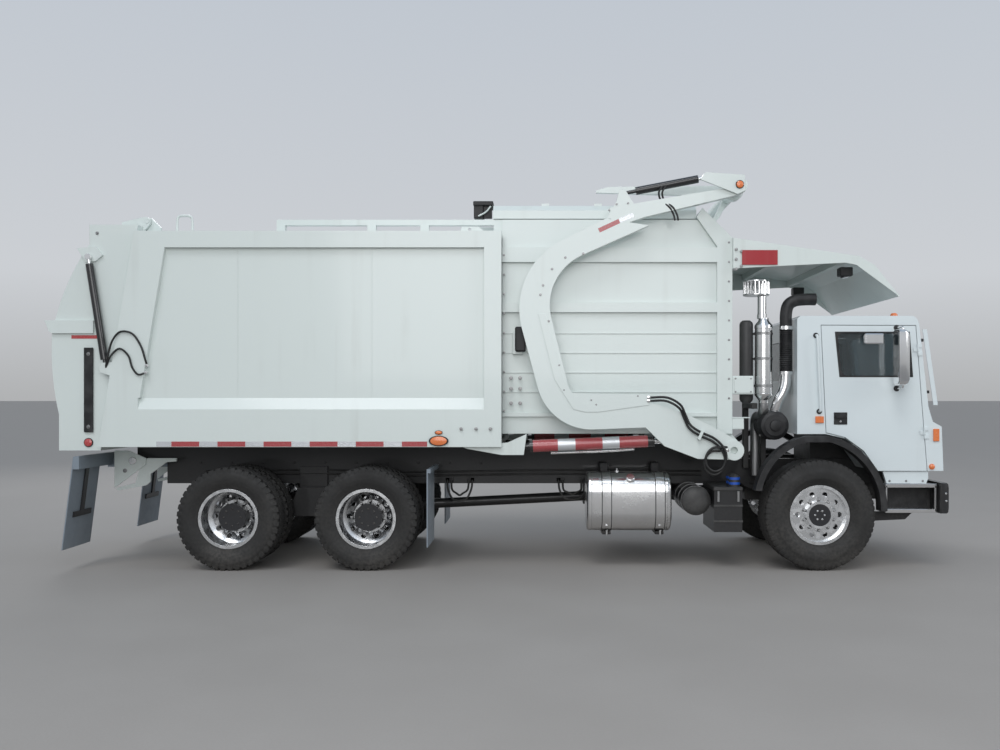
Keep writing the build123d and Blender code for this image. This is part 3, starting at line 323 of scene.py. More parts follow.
give(wheel_turning, result["Brake dust"], sum_up(wheel_turning, "MULTIPLY", film, 0.35))

# %% [markdown]
# ## Rubber bloom
# New tyres are black, but the sidewall turns slightly brown and the tread carries dust. A fine
# noise breaks up the surface so that it never looks like plastic.

# %% Rubber bloom group
rubber_bloom, given, result = start_group(
    "rubber_bloom",
    {"Colour": colour_socket},
    {"Colour": colour_socket, "Roughness": number_socket, "Height": number_socket},
)
place = here(rubber_bloom)
cloud = ramp(rubber_bloom, noise(rubber_bloom, place, 7, 5), 0.35, 0.75)
brown_share = sum_up(rubber_bloom, "MULTIPLY", cloud, 0.30)
browned = blend(rubber_bloom, brown_share, given["Colour"], (0.034, 0.033, 0.032, 1))
chalkier = sum_up(rubber_bloom, "MULTIPLY", cloud, 0.25)
give(rubber_bloom, result["Colour"], browned)
give(rubber_bloom, result["Roughness"], sum_up(rubber_bloom, "ADD", 0.62, chalkier))
give(rubber_bloom, result["Height"], noise(rubber_bloom, place, 220, 2))

# %% [markdown]
# ## Reflector cells
# Reflective tape and lamp lenses are moulded with small cells that throw light back. A cell
# pattern gives their facets as a bump and a small change of tone.

# %% Reflector cells group
reflector_cells, given, result = start_group(
    "reflector_cells",
    {"Colour": colour_socket, "Size": number_socket},
    {"Colour": colour_socket, "Height": number_socket},
)
place = here(reflector_cells)
cells = add_node(reflector_cells, "ShaderNodeTexVoronoi", Vector=place, Scale=given["Size"])
facets = cells.outputs["Distance"]
pale = sum_up(reflector_cells, "MULTIPLY", facets, 0.10)
give(reflector_cells, result["Colour"], blend(reflector_cells, pale, given["Colour"], (1.0, 1.0, 1.0, 1)))
give(reflector_cells, result["Height"], facets)

# %% [markdown]
# ## Grained plastic
# Fenders, vents and seats are moulded with a leather-like grain. It is a cell pattern too, but
# rounder and shallower, with a little sheen where hands polish it.

# %% Grained plastic group
grained_plastic, given, result = start_group(
    "grained_plastic",
    {"Colour": colour_socket, "Size": number_socket},
    {"Colour": colour_socket, "Roughness": number_socket, "Height": number_socket},
)
place = here(grained_plastic)
soft_cells = {"feature": "SMOOTH_F1"}
pebbles = add_node(grained_plastic, "ShaderNodeTexVoronoi", soft_cells, Vector=place, Scale=given["Size"])
chalk = ramp(grained_plastic, noise(grained_plastic, place, 9, 4), 0.4, 0.8)
chalk_share = sum_up(grained_plastic, "MULTIPLY", chalk, 0.12)
chalked = blend(grained_plastic, chalk_share, given["Colour"], (0.22, 0.22, 0.22, 1))
duller = sum_up(grained_plastic, "MULTIPLY", chalk, 0.25)
give(grained_plastic, result["Colour"], chalked)
give(grained_plastic, result["Roughness"], sum_up(grained_plastic, "ADD", 0.42, duller))
give(grained_plastic, result["Height"], pebbles.outputs["Distance"])

# %% [markdown]
# ## Finishes
# Each finish is one short function that puts the groups together with its own values. Numbers
# that are the same all over a surface go straight on the shader.

# %% Finish helpers


def start_finish(name, **plain):
    """A material whose shader has its plain values set."""
    material = bpy.data.materials.new(name)
    material.use_nodes = True
    tree = material.node_tree
    shader = tree.nodes["Principled BSDF"]
    for field, value in plain.items():
        shader.inputs[field.replace("_", " ")].default_value = value
    return material, tree, shader


def place_group(tree, group, **inputs):
    """A group in a material, with its inputs."""
    made = tree.nodes.new("ShaderNodeGroup")
    made.node_tree = group
    for field, value in inputs.items():
        give(tree, made.inputs[field.replace("_", " ")], value)
    return made.outputs


def bumped(tree, height, distance, normal=None, strength=1.0):
    """A normal bent by a height."""
    made = add_node(tree, "ShaderNodeBump", Height=height, Distance=distance, Strength=strength)
    if normal is not None:
        give(tree, made.inputs["Normal"], normal)
    return made.outputs["Normal"]


def dusted(tree, shader, colour, rough, amount, reach):
    """Lays road dust on a colour and a roughness, and feeds the shader with both."""
    dirt = place_group(tree, road_dust, Colour=colour, Roughness=rough, Amount=amount, Reach=reach)
    give(tree, shader.inputs["Base Color"], dirt["Colour"])
    give(tree, shader.inputs["Roughness"], dirt["Roughness"])


def gloss_paint(name, tone, rough, dust=0.35, reach=1.5, streaks=0.25, waviness=0.5):
    """Sprayed gloss paint with soft edges, streaks and road dust."""
    material, tree, shader = start_finish(name, Coat_Weight=0.4, Coat_Roughness=0.08)
    runs = place_group(tree, rain_streaks, Colour=(*tone, 1), Amount=streaks)
    edges = place_group(tree, soft_edges, Radius=0.004)
    thin = sum_up(tree, "MULTIPLY", edges["Edge"], 0.25)
    worn = blend(tree, thin, runs["Colour"], (*(0.72 * part for part in tone), 1))
    dusted(tree, shader, worn, rough, dust, reach)
    coat = place_group(tree, sprayed_coat, Waviness=waviness)
    give(tree, shader.inputs["Normal"], bumped(tree, coat["Height"], 0.003, edges["Normal"], 0.5))
    return material


def polished_metal(name, tone, rough, stretch, dust=0.2, reach=1.2):
    """Bare metal with polishing lines."""
    material, tree, shader = start_finish(name, Metallic=1.0)
    lines = place_group(tree, brushed_metal, Colour=(*tone, 1), Roughness=rough, Stretch=stretch)
    dusted(tree, shader, lines["Colour"], lines["Roughness"], dust, reach)
    edges = place_group(tree, soft_edges, Radius=0.002)
    give(tree, shader.inputs["Normal"], bumped(tree, lines["Height"], 0.0002, edges["Normal"], 0.10))
    return material


def turned_alloy(name, axle_x, axle_z, hub_radius):
    """A wheel's alloy with lathe rings and a black hub."""
    material, tree, shader = start_finish(name)
    rings = place_group(tree, wheel_turning, Axle_X=axle_x, Axle_Z=axle_z, Hub_radius=hub_radius)
    alloy = blend(tree, rings["Brake dust"], (0.80, 0.81, 0.82, 1), (0.42, 0.40, 0.38, 1))
    give(tree, shader.inputs["Base Color"], blend(tree, rings["Hub"], alloy, (0.018, 0.018, 0.02, 1)))
    give(tree, shader.inputs["Metallic"], sum_up(tree, "SUBTRACT", 1.0, rings["Hub"]))
    alloy_rough = sum_up(tree, "ADD", 0.20, rings["Brake dust"])
    give(tree, shader.inputs["Roughness"], blend(tree, rings["Hub"], alloy_rough, 0.42, colour=False))
    edges = place_group(tree, soft_edges, Radius=0.003)
    give(tree, shader.inputs["Normal"], bumped(tree, rings["Rings"], 0.0001, edges["Normal"], 0.05))
    return material


def moulded(name, tone, size=900.0, dust=0.5, reach=1.1, depth=0.0006):
    """Grained plastic, rubber sheet or vinyl."""
    material, tree, shader = start_finish(name, Specular_IOR_Level=0.4)
    grain = place_group(tree, grained_plastic, Colour=(*tone, 1), Size=size)
    dusted(tree, shader, grain["Colour"], grain["Roughness"], dust, reach)
    edges = place_group(tree, soft_edges, Radius=0.004)
    give(tree, shader.inputs["Normal"], bumped(tree, grain["Height"], depth, edges["Normal"], 0.6))
    return material


def tyre_finish(name, tone, dust=0.10, reach=1.3):
    """Tyre rubber."""
    material, tree, shader = start_finish(name, Specular_IOR_Level=0.35)
    rubber = place_group(tree, rubber_bloom, Colour=(*tone, 1))
    dusted(tree, shader, rubber["Colour"], rubber["Roughness"], dust, reach)
    give(tree, shader.inputs["Normal"], bumped(tree, rubber["Height"], 0.0008, strength=0.6))
    return material


def reflecting(name, tone, size, metal=0.0, glow=0.0, rough=0.22, dust=0.25, reach=1.6):
    """Tape or a lamp's lens, with its cells."""
    material, tree, shader = start_finish(name, Metallic=metal, Coat_Weight=0.8, Coat_Roughness=0.05)
    shader.inputs["Emission Color"].default_value = (*tone, 1)
    shader.inputs["Emission Strength"].default_value = glow
    lens = place_group(tree, reflector_cells, Colour=(*tone, 1), Size=size)
    dusted(tree, shader, lens["Colour"], rough, dust, reach)
    give(tree, shader.inputs["Normal"], bumped(tree, lens["Height"], 0.002, strength=0.5))
    return material


def clear_glass(name, tone, rough=0.02, dust=0.18, reach=3.4):
    """Glass that one sees through, with a film of dust."""
    material, tree, shader = start_finish(name, Metallic=0.0, Transmission_Weight=0.92, IOR=1.45)
    dusted(tree, shader, (*tone, 1), rough, dust, reach)
    return material


# %% [markdown]
# ## The finishes of this truck
# The body is white with a slight green tone and the cab is whiter, because two makers paint
# them. What lies between the rails is black. Alloy tank and wheels are polished.

# %% Finishes of this truck
front_axle = (3.289, 0.562)
rear_axles = {"middle": (-1.3225, 0.525), "rear": (-2.7195, 0.525)}
front_hub_radius, rear_hub_radius = 0.112, 0.141
finish = {
    "body_paint": gloss_paint("body_paint", (0.68, 0.74, 0.715), 0.30, dust=0.16, reach=1.7),
    "cab_paint": gloss_paint(
        "cab_paint", (0.69, 0.755, 0.77), 0.20, dust=0.14, reach=1.4, streaks=0.10, waviness=0.2
    ),
    "chassis_paint": gloss_paint(
        "chassis_paint", (0.007, 0.007, 0.008), 0.55, dust=0.06, reach=1.3, streaks=0.0
    ),
    "trim_black": moulded("trim_black", (0.014, 0.014, 0.015), dust=0.16),
    "tank_alloy": polished_metal("tank_alloy", (0.80, 0.80, 0.80), 0.10, (0.15, 3, 3)),
    "wheel_alloy": turned_alloy("wheel_alloy", *front_axle, front_hub_radius),
    "bright_steel": polished_metal("bright_steel", (0.80, 0.80, 0.80), 0.04, (3, 3, 0.3), dust=0.1),
    "cylinder_black": gloss_paint(
        "cylinder_black", (0.014, 0.014, 0.015), 0.22, dust=0.25, streaks=0.0, waviness=0.0
    ),
    "tyre_rubber": tyre_finish("tyre_rubber", (0.018, 0.018, 0.018)),
    "flap_rubber": moulded("flap_rubber", (0.22, 0.26, 0.30), 350.0, dust=0.15),
    "window_glass": clear_glass("window_glass", (0.30, 0.36, 0.38)),
    "seat_trim": moulded("seat_trim", (0.05, 0.05, 0.055), 700.0, dust=0.0),
    "engine_iron": moulded("engine_iron", (0.04, 0.04, 0.04), 300.0, dust=0.25),
    "hose_rubber": moulded("hose_rubber", (0.012, 0.012, 0.012), 500.0, dust=0.2),
    "tape_red": reflecting("tape_red", (0.36, 0.004, 0.012), 190.0),
    "tape_silver": reflecting("tape_silver", (0.62, 0.64, 0.66), 190.0, metal=0.4),
    "lamp_red": reflecting("lamp_red", (0.42, 0.004, 0.006), 120.0, glow=0.05),
    "lamp_amber": reflecting("lamp_amber", (0.72, 0.15, 0.004), 120.0, glow=0.05),
    "lamp_white": reflecting("lamp_white", (0.80, 0.82, 0.84), 90.0, metal=0.6, glow=0.1),
    "plate_red": gloss_paint("plate_red", (0.36, 0.008, 0.016), 0.25, dust=0.0, streaks=0.1),
    "mark_blue": gloss_paint("mark_blue", (0.01, 0.10, 0.55), 0.3, dust=0.2, streaks=0.0),
    "mirror_silver": polished_metal("mirror_silver", (0.88, 0.89, 0.90), 0.0, (1, 1, 1), dust=0.0),
    "bolt_steel": polished_metal("bolt_steel", (0.32, 0.32, 0.32), 0.30, (1, 1, 1)),
}
for place_name, rear_axle in rear_axles.items():
    alloy_name = f"wheel_alloy_{place_name}"
    finish[alloy_name] = turned_alloy(alloy_name, *rear_axle, rear_hub_radius)
slot_of = {row["node"]: row["material_slot"] for row in frame["record"]["subparts"]}
for name, node in nodes.items():
    chosen = slot_of[name]
    axle_name = name.split("_")[0]
    if chosen == "wheel_alloy" and axle_name in rear_axles:
        chosen = f"wheel_alloy_{axle_name}"
    node.data.materials.clear()
    node.data.materials.append(finish[chosen])
print("finishes", len(finish))

# %% Short names for the finishes of small parts
white, cab_white, frame_black, black = "body_paint", "cab_paint", "chassis_paint", "trim_black"
bright, dark_steel, gloss_black, iron = "bright_steel", "bolt_steel", "cylinder_black", "engine_iron"
alloy, mirror_glass, vinyl = "tank_alloy", "mirror_silver", "seat_trim"
hose_black, tyre_black = "hose_rubber", "tyre_rubber"
red_tape, silver_tape, sign_red, cap_blue = "tape_red", "tape_silver", "plate_red", "mark_blue"
red_lens, amber_lens, clear_lens = "lamp_red", "lamp_amber", "lamp_white"

# %% [markdown]
# ## Floor
# The floor is plain pale concrete. Two noises keep it from looking like paper.

# %% Floor
floor_half = 400
floor_finish, tree, shader = start_finish("floor_concrete", Specular_IOR_Level=0.25)
place = here(tree)
stains = ramp(tree, noise(tree, place, 0.9, 6), 0.2, 0.9)
specks = noise(tree, place, 60, 3)
floor_tone = blend(tree, stains, (0.31, 0.29, 0.27, 1), (0.34, 0.32, 0.30, 1))
speck_share = sum_up(tree, "MULTIPLY", specks, 0.25)
give(tree, shader.inputs["Base Color"], blend(tree, speck_share, floor_tone, (0.23, 0.22, 0.21, 1)))
give(tree, shader.inputs["Roughness"], sum_up(tree, "ADD", 0.72, sum_up(tree, "MULTIPLY", stains, 0.15)))
give(tree, shader.inputs["Normal"], bumped(tree, specks, 0.002, strength=0.4))
floor_data = bpy.data.meshes.new("floor")
floor_corners = [(-1, -1), (1, -1), (1, 1), (-1, 1)]
floor_data.from_pydata([(x * floor_half, y * floor_half, 0) for x, y in floor_corners], [], [(0, 1, 2, 3)])
floor_data.materials.append(floor_finish)
floor = bpy.data.objects.new("floor", floor_data)
bpy.context.scene.collection.objects.link(floor)
print("floor", 2 * floor_half, "metres wide")

# %% [markdown]
# ## A workbench for small shapes
# Bolts, lamps and tape are many, so they are gathered in one shape for each body that carries
# them. A shape is a list of points and faces; the tools below add a softened block, a plate cut
# to an outline, a turned part or a bent tube to it.

# %% Workbench


class Shape:
    """Points and faces, with the name of each face's finish."""

    def __init__(self):
        self.points, self.faces, self.paints = [], [], []

    def add(self, points, faces, paint):
        """Takes over some points and the faces between them."""
        start = len(self.points)
        self.points += [tuple(point) for point in points]
        self.faces += [tuple(start + number for number in face) for face in faces]
        self.paints += [paint] * len(faces)


def block(shape, low, high, paint, soften=0.003):
    """A box whose edges are cut back a little."""
    low, high = [min(a, b) for a, b in zip(low, high)], [max(a, b) for a, b in zip(low, high)]
    middle = [(a + b) / 2 for a, b in zip(low, high)]
    half = [(b - a) / 2 for a, b in zip(low, high)]
    soften = min(soften, 0.4 * min(half))
    signs = [(x, y, z) for x in (-1, 1) for y in (-1, 1) for z in (-1, 1)]
    points = []
    for sign in signs:
        for axis in range(3):
            reach = [half[n] - (0 if n == axis else soften) for n in range(3)]
            points.append([middle[n] + sign[n] * reach[n] for n in range(3)])

    def number(sign, axis):
        return signs.index(tuple(sign)) * 3 + axis

    faces = [tuple(number(sign, axis) for axis in range(3)) for sign in signs]
    for axis in range(3):
        one, two = [n for n in range(3) if n != axis]
        for way in (-1, 1):
            loop = []
            for a, b in ((-1, -1), (1, -1), (1, 1), (-1, 1)):
                sign = [0, 0, 0]
                sign[axis], sign[one], sign[two] = way, a, b
                loop.append(number(sign, axis))
            faces.append(tuple(loop))
        for a in (-1, 1):
            for b in (-1, 1):
                near, far = [0, 0, 0], [0, 0, 0]
                near[axis], near[one], near[two] = -1, a, b
                far[axis], far[one], far[two] = 1, a, b
                faces.append((number(near, one), number(far, one), number(far, two), number(near, two)))
    shape.add(points, faces, paint)


def slab(shape, outline, y_low, y_high, paint):
    """A plate cut to an outline of X and Z, between two Y."""
    count = len(outline)
    points = [(x, y_low, z) for x, z in outline] + [(x, y_high, z) for x, z in outline]
    faces = [tuple(range(count)), tuple(range(count, 2 * count))]
    faces += [(n, (n + 1) % count, count + (n + 1) % count, count + n) for n in range(count)]
    shape.add(points, faces, paint)


def across(direction):
    """A direction made one unit long, and two more square to it."""
    direction = Vector(direction).normalized()
    other = Vector((0, 0, 1)) if abs(direction.z) < 0.9 else Vector((1, 0, 0))
    first = direction.cross(other).normalized()
    return direction, first, direction.cross(first).normalized()


def circle(centre, first, second, radius, steps):
    """Places evenly round a circle that lies along two directions."""
    turns = [math.tau * step / steps for step in range(steps)]
    return [centre + (first * math.cos(turn) + second * math.sin(turn)) * radius for turn in turns]


def turned(shape, start, direction, outline, paint, steps=24):
    """A part turned about an axis from (distance along it, radius) pairs."""
    direction, first, second = across(direction)
    points, faces, rings = [], [], []
    for along, radius in outline:
        centre = Vector(start) + direction * along
        ring = circle(centre, first, second, radius, steps) if radius else [centre]
        rings.append(range(len(points), len(points) + len(ring)))
        points += ring
    for one, two in zip(rings, rings[1:]):
        for step in range(steps):
            after = (step + 1) % steps
            if len(one) == 1 and len(two) > 1:
                faces.append((one[0], two[step], two[after]))
            elif len(two) == 1 and len(one) > 1:
                faces.append((one[step], one[after], two[0]))
            elif len(one) > 1:
                faces.append((one[step], one[after], two[after], two[step]))
    shape.add(points, faces, paint)


def smooth_route(points, per_run=6):
    """More points along a route, on a curve through all of them."""
    points = [Vector(point) for point in points]
    padded = [2 * points[0] - points[1], *points, 2 * points[-1] - points[-2]]
    route = []
    for before, start, end, after in zip(padded, padded[1:], padded[2:], padded[3:]):
        for step in range(per_run):
            t = step / per_run
            slope = (end - before) * t
            bend = (2 * before - 5 * start + 4 * end - after) * t**2
            twist = (3 * start - before - 3 * end + after) * t**3
            route.append(0.5 * (2 * start + slope + bend + twist))
    route.append(points[-1])
    return route


def tube(shape, route, radius, paint, steps=10):
    """A round tube along a route, with closed ends."""
    route = [Vector(place) for place in route]
    first = across(route[1] - route[0])[1]
    points = []
    for number, place in enumerate(route):
        ahead = (route[min(number + 1, len(route) - 1)] - route[max(number - 1, 0)]).normalized()
        first = (first - ahead * first.dot(ahead)).normalized()
        points += circle(place, first, ahead.cross(first), radius, steps)
    faces = [tuple(range(steps)), tuple(range(len(points) - steps, len(points)))]
    for low in range(0, len(points) - steps, steps):
        for step in range(steps):
            after = (step + 1) % steps
            faces.append((low + step, low + after, low + steps + after, low + steps + step))
    shape.add(points, faces, paint)


def bent_tube(shape, points, radius, paint, steps=10, per_run=6):
    """A tube on a curve through a few places, for hoses, pipes and handles."""
    tube(shape, smooth_route(points, per_run), radius, paint, steps)


def head(radius, length):
    """The outline of a round head with a slightly domed end."""
    return [(0, 0), (0, radius), (length, radius), (length + 0.002, 0)]


def band(low, high, inner, outer):
    """The outline of a band that lies round something."""
    return [(low, inner), (low, outer), (high, outer), (high, inner)]


def bolt(shape, place, direction, radius, paint):
    """A hexagon head on a washer."""
    washer, corner = radius * 1.45, radius * 0.8
    washer_outline = [(-0.004, 0), (-0.004, washer), (0.002, washer), (0.003, 0)]
    hexagon_outline = [(0, 0), (0.001, radius), (corner, radius), (radius, corner), (radius, 0)]
    turned(shape, place, direction, washer_outline, paint, 14)
    turned(shape, place, direction, hexagon_outline, paint, 6)


def side_bolts(shape, places, y, side, radius, paint):
    """Bolts on a side face, at places of X and Z."""
    for x, z in places:
        bolt(shape, (x, side * y, z), (0, side, 0), radius, paint)


up, down, forward, rearward = (0, 0, 1), (0, 0, -1), (1, 0, 0), (-1, 0, 0)


def finish_piece(name, body, shape, sharp=35):
    """Makes the gathered shape a piece that rides on a body."""
    mesh = bpy.data.meshes.new(name)
    mesh.from_pydata(shape.points, [], shape.faces)
    used = list(dict.fromkeys(shape.paints))
    for chosen in used:
        mesh.materials.append(finish[chosen])
    mesh.polygons.foreach_set("material_index", [used.index(paint) for paint in shape.paints])
    tidy = bmesh.new()
    tidy.from_mesh(mesh)
    bmesh.ops.recalc_face_normals(tidy, faces=tidy.faces)
    tidy.to_mesh(mesh)
    tidy.free()
    mesh.shade_smooth()
    mesh.set_sharp_from_angle(angle=math.radians(sharp))
    piece = bpy.data.objects.new(name, mesh)
    bpy.context.scene.collection.objects.link(piece)
    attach(piece, body)
    print("piece", name, len(shape.faces), "faces")
    return piece


# %% [markdown]
# ## Tyres
# A truck tyre is recognised by its tread. One cross-section is turned about the axle, with
# round grooves in it, and at the shoulders every other step is pushed in to make the lugs. The
# drive tyres at the back have deep lugs; the wide steering tyre in front has shallow ribs.

# %% Tyres


def tread_tyre(shape, axle, centre, width, lugs, lug_depth, grooves):
    """One tyre with ribs, grooves and shoulder lugs; it stands on the floor, so its axle gives its radius."""
    radius = axle[1]
    bead, shoulder = 0.36 * width, 0.42 * width
    sidewall = [
        (bead - 0.006, 0.290), (bead, 0.306), (0.40 * width, 0.318), (0.41 * width, 0.330),
        (0.445 * width, 0.345), (0.478 * width, 0.375), (0.482 * width, 0.378), (0.482 * width, 0.384),
        (0.486 * width, 0.386), (0.494 * width, 0.412), (0.494 * width, 0.440), (0.485 * width, 0.460),
        (0.482 * width, 0.462), (0.470 * width, radius - 0.052), (0.456 * width, radius - 0.034),
        (0.440 * width, radius - 0.018),
    ]
    crown = [(shoulder, radius - 0.006), (shoulder - 0.012, radius - 0.002)]
    for middle in grooves:
        for offset, depth in ((0.009, 0), (0.006, 0.013), (-0.006, 0.013), (-0.009, 0)):
            crown.append((middle * width + offset, radius - 0.001 - depth))
    half = sidewall + crown
    section = half + [(-y, r) for y, r in reversed(half)]
    lug_start, lug_end = len(sidewall) - 3, len(sidewall) + 2
    stations = []
    for lug in range(lugs):
        for share, deep in ((0.0, False), (0.60, False), (0.66, True), (0.94, True)):
            stations.append((math.tau * (lug + share) / lugs, deep))
    points, faces = [], []
    for angle, deep in stations:
        for number, (y, r) in enumerate(section):
            from_bead = min(number, len(section) - 1 - number)
            if deep and lug_start <= from_bead <= lug_end:
                r -= lug_depth * (0.5 if from_bead == lug_start else 1.0)
            points.append((axle[0] + r * math.cos(angle), centre + y, axle[1] + r * math.sin(angle)))
    count = len(section)
    for ring in range(len(stations)):
        low, high = ring * count, (ring + 1) % len(stations) * count
        for number in range(count):
            after = (number + 1) % count
            faces.append((low + number, low + after, high + after, high + number))
    shape.add(points, faces, tyre_black)


def finish_tyre(name, body, shape, replaced):
    """Puts a shape of tyres on its wheel, in place of the plain ones."""
    tyre = finish_piece(name, body, shape, 28)
    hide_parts(replaced)


for side, side_name in sides:
    shape = Shape()
    tread_tyre(shape, front_axle, side * 0.990, 0.420, 60, 0.007, (0.30, 0.17, 0.05))
    finish_tyre(f"front_tread_{side_name}", f"front_wheel_{side_name}", shape, f"front_tyre_{side_name}")
    for place_name, axle in rear_axles.items():
        shape = Shape()
        for centre in (1.058, 0.718):
            tread_tyre(shape, axle, side * centre, 0.279, 44, 0.014, (0.22, 0.07))
        wheels, tyres = f"{place_name}_wheels_{side_name}", f"{place_name}_tyres_{side_name}"
        finish_tyre(f"{place_name}_treads_{side_name}", wheels, shape, tyres)

# %% [markdown]
# ## Wheel nuts
# Ten nuts hold each wheel on its studs, and a ring of small bolts holds the axle shaft's cap.
# They turn with the wheel, so they ride on the wheel's body.

# %% Wheel nuts
stud_circle = 0.158


def around(axle, radius, count, turn=0.0):
    """Places of X and Z on a circle about an axle."""
    for number in range(count):
        angle = math.tau * (number + turn) / count
        yield axle[0] + radius * math.cos(angle), axle[1] + radius * math.sin(angle)


def wheel_nuts(shape, axle, face, side):
    """Ten flanged nuts on a wheel's face, each with the end of its stud."""
    nut = [(0, 0), (0, 0.021), (0.006, 0.021), (0.010, 0.0175), (0.028, 0.0175), (0.031, 0.014), (0.031, 0)]
    stud = [(0.028, 0), (0.029, 0.010), (0.044, 0.010), (0.046, 0.008), (0.046, 0)]
    for x, z in around(axle, stud_circle, 10, 0.5):
        turned(shape, (x, side * face, z), (0, side, 0), nut, dark_steel, 6)
        turned(shape, (x, side * face, z), (0, side, 0), stud, bright, 10)


valve_stem = [(0, 0), (0, 0.006), (0.05, 0.006), (0.052, 0.004), (0.052, 0)]
for side, side_name in sides:
    shape = Shape()
    wheel_nuts(shape, front_axle, 1.097, side)
    side_bolts(shape, around(front_axle, 0.048, 6), 1.150, side, 0.007, bright)
    valve_place = (front_axle[0] - 0.235, side * 1.080, front_axle[1])
    turned(shape, valve_place, (-0.35, side, 0), valve_stem, bright, 10)
    body = f"front_wheel_{side_name}"
    finish_piece(f"front_nuts_{side_name}", body, shape)
    for place_name, axle in rear_axles.items():
        shape = Shape()
        wheel_nuts(shape, axle, 0.902, side)
        side_bolts(shape, around(axle, 0.088, 8), 1.038, side, 0.008, gloss_black)
        body = f"{place_name}_wheels_{side_name}"
        finish_piece(f"{place_name}_nuts_{side_name}", body, shape)

# %% [markdown]
# ## Reflective tape
# Law asks for red and silver tape along a truck's side. It is a sheet under a millimetre thick,
# so each strip is a very thin block on the face that carries it.

# %% Body tape
tape_low, tape_high = 1.262, 1.314
tape_start, tape_end, tape_pitch, silver_length = -2.991, -0.692, 0.465, 0.182
body_face = 1.220
cuts = [(-3.426, -3.274, silver_tape), (-3.274, tape_start, red_tape)]
start = tape_start
while start < -0.75:
    cuts.append((start, start + silver_length, silver_tape))
    cuts.append((start + silver_length, min(start + tape_pitch, tape_end), red_tape))
    start += tape_pitch
for side, side_name in sides:
    shape = Shape()
    for low, high, paint in cuts:
        inner = (low + 0.001, side * (body_face - 0.001), tape_low)
        block(shape, inner, (high - 0.001, side * (body_face + 0.0015), tape_high), paint, 0.0004)
    finish_piece(f"body_tape_{side_name}", "chassis", shape)

# %% [markdown]
# The lift cylinder has its tape wrapped round the barrel, and the arms have short strips that
# follow their slope.

# %% Cylinder and arm tape
lift_base, lift_tip = Vector((0.220, 0, 1.255)), Vector((1.715, 0, 1.319))
barrel_bands = (
    (0.154, 0.407, red_tape), (0.407, 0.585, silver_tape), (0.585, 0.861, red_tape),
    (0.861, 1.033, silver_tape), (1.033, 1.322, red_tape),
)
shape = Shape()
for side, _ in sides:
    for low, high, paint in barrel_bands:
        base = lift_base + Vector((0, side * 1.110, 0))
        turned(shape, base, lift_tip - lift_base, band(low, high, 0.0615, 0.0630), paint, 32)
finish_piece("lift_cylinder_tape", "lift_barrels", shape)


def strip(shape, start, end, y, side, paint, width=0.045):
    """A strip of tape between two points of X and Z."""
    start, end = Vector(start), Vector(end)
    run = (end - start).normalized()
    off = Vector((-run.y, run.x)) * width / 2
    outline = [start + off, end + off, end - off, start - off]
    slab(shape, outline, side * (y - 0.001), side * (y + 0.0015), paint)


arm_strips = (
    ((1.036, 3.436), (1.243, 3.532), 1.255, red_tape),
    ((1.243, 3.532), (1.385, 3.593), 1.255, silver_tape),
    ((1.925, 3.748), (2.127, 3.790), 1.215, red_tape),
    ((2.127, 3.790), (2.290, 3.822), 1.215, silver_tape),
)
for side, side_name in sides:
    shape = Shape()
    for start, end, y, paint in arm_strips:
        strip(shape, start, end, y, side, paint)
    finish_piece(f"arm_tape_{side_name}", "lift_arms", shape)

# %% [markdown]
# ## Lamps and reflectors
# A lamp is a lens in a rubber ring. Both are turned parts, lower at the rim and crowned in the
# middle; the oval ones are stretched afterwards.

# %% Lamp shapes


def lamp(shape, place, direction, radius, paint, ring=black, stretch=(1, 1, 1)):
    """A crowned lens in its ring, which may be stretched to an oval."""
    start = len(shape.points)
    rim = radius * 1.16
    bezel = [(-0.004, 0), (-0.004, rim), (0.010, rim), (0.013, radius * 1.06), (0.011, radius), (0.0, 0)]
    lens = [(0.0, 0), (0.004, radius), (0.014, radius * 0.97), (0.021, radius * 0.6), (0.023, 0)]
    turned(shape, place, direction, bezel, ring, 32)
    turned(shape, place, direction, lens, paint, 32)
    for number, point in enumerate(shape.points[start:], start):
        shape.points[number] = tuple(p + (q - p) * s for p, q, s in zip(place, point, stretch))


# %% Lamps of the body
flap_crossbar_x = -4.2795
shape = Shape()
for side, _ in sides:
    lamp(shape, (-0.576, side * 1.232, 1.321), (0, side, 0), 0.045, amber_lens, black, (1.9, 1, 1))
    lamp(shape, (-0.576, side * 1.222, 1.405), (0, side, 0), 0.018, amber_lens, black, (1.9, 1, 1))
for y in (-1.02, -0.86, -0.70, 0.70, 0.86, 1.02):
    lamp(shape, (flap_crossbar_x, y, 1.095), rearward, 0.042, red_lens)
finish_piece("body_lamps", "chassis", shape)

# %% Lamps of the tailgate
shape = Shape()
for side, _ in sides:
    lamp(shape, (-4.149, side * 1.130, 1.300), (0, side, 0), 0.040, red_lens)
    block(shape, (-4.325, side * 1.131, 2.357), (-4.052, side * 1.1325, 2.392), red_lens, 0.0004)
finish_piece("tailgate_lamps", "tailgate", shape)

# %% Lamps of the cab
beacon = [(0, 0), (0, 0.040), (0.035, 0.038), (0.050, 0.025), (0.054, 0)]
shape = Shape()
for y in (-0.80, -0.16, 0, 0.16, 0.80):
    lamp(shape, (4.322, y, 2.545), (1, 0, 0.45), 0.020, amber_lens, black, (1, 2.2, 1))
for side, _ in sides:
    block(shape, (3.255, side * 1.098, 1.498), (3.340, side * 1.118, 1.566), amber_lens, 0.006)
    block(shape, (4.459, side * 1.098, 1.312), (4.519, side * 1.116, 1.438), amber_lens, 0.008)
    lamp(shape, (4.445, side * 1.102, 1.052), (0, side, 0), 0.025, amber_lens, amber_lens)
    block(shape, (4.160, side * 0.65, 2.590), (4.260, side * 0.75, 2.605), black, 0.004)
    turned(shape, (4.210, side * 0.70, 2.604), up, beacon, amber_lens, 20)
finish_piece("cab_lamps", "chassis", shape)

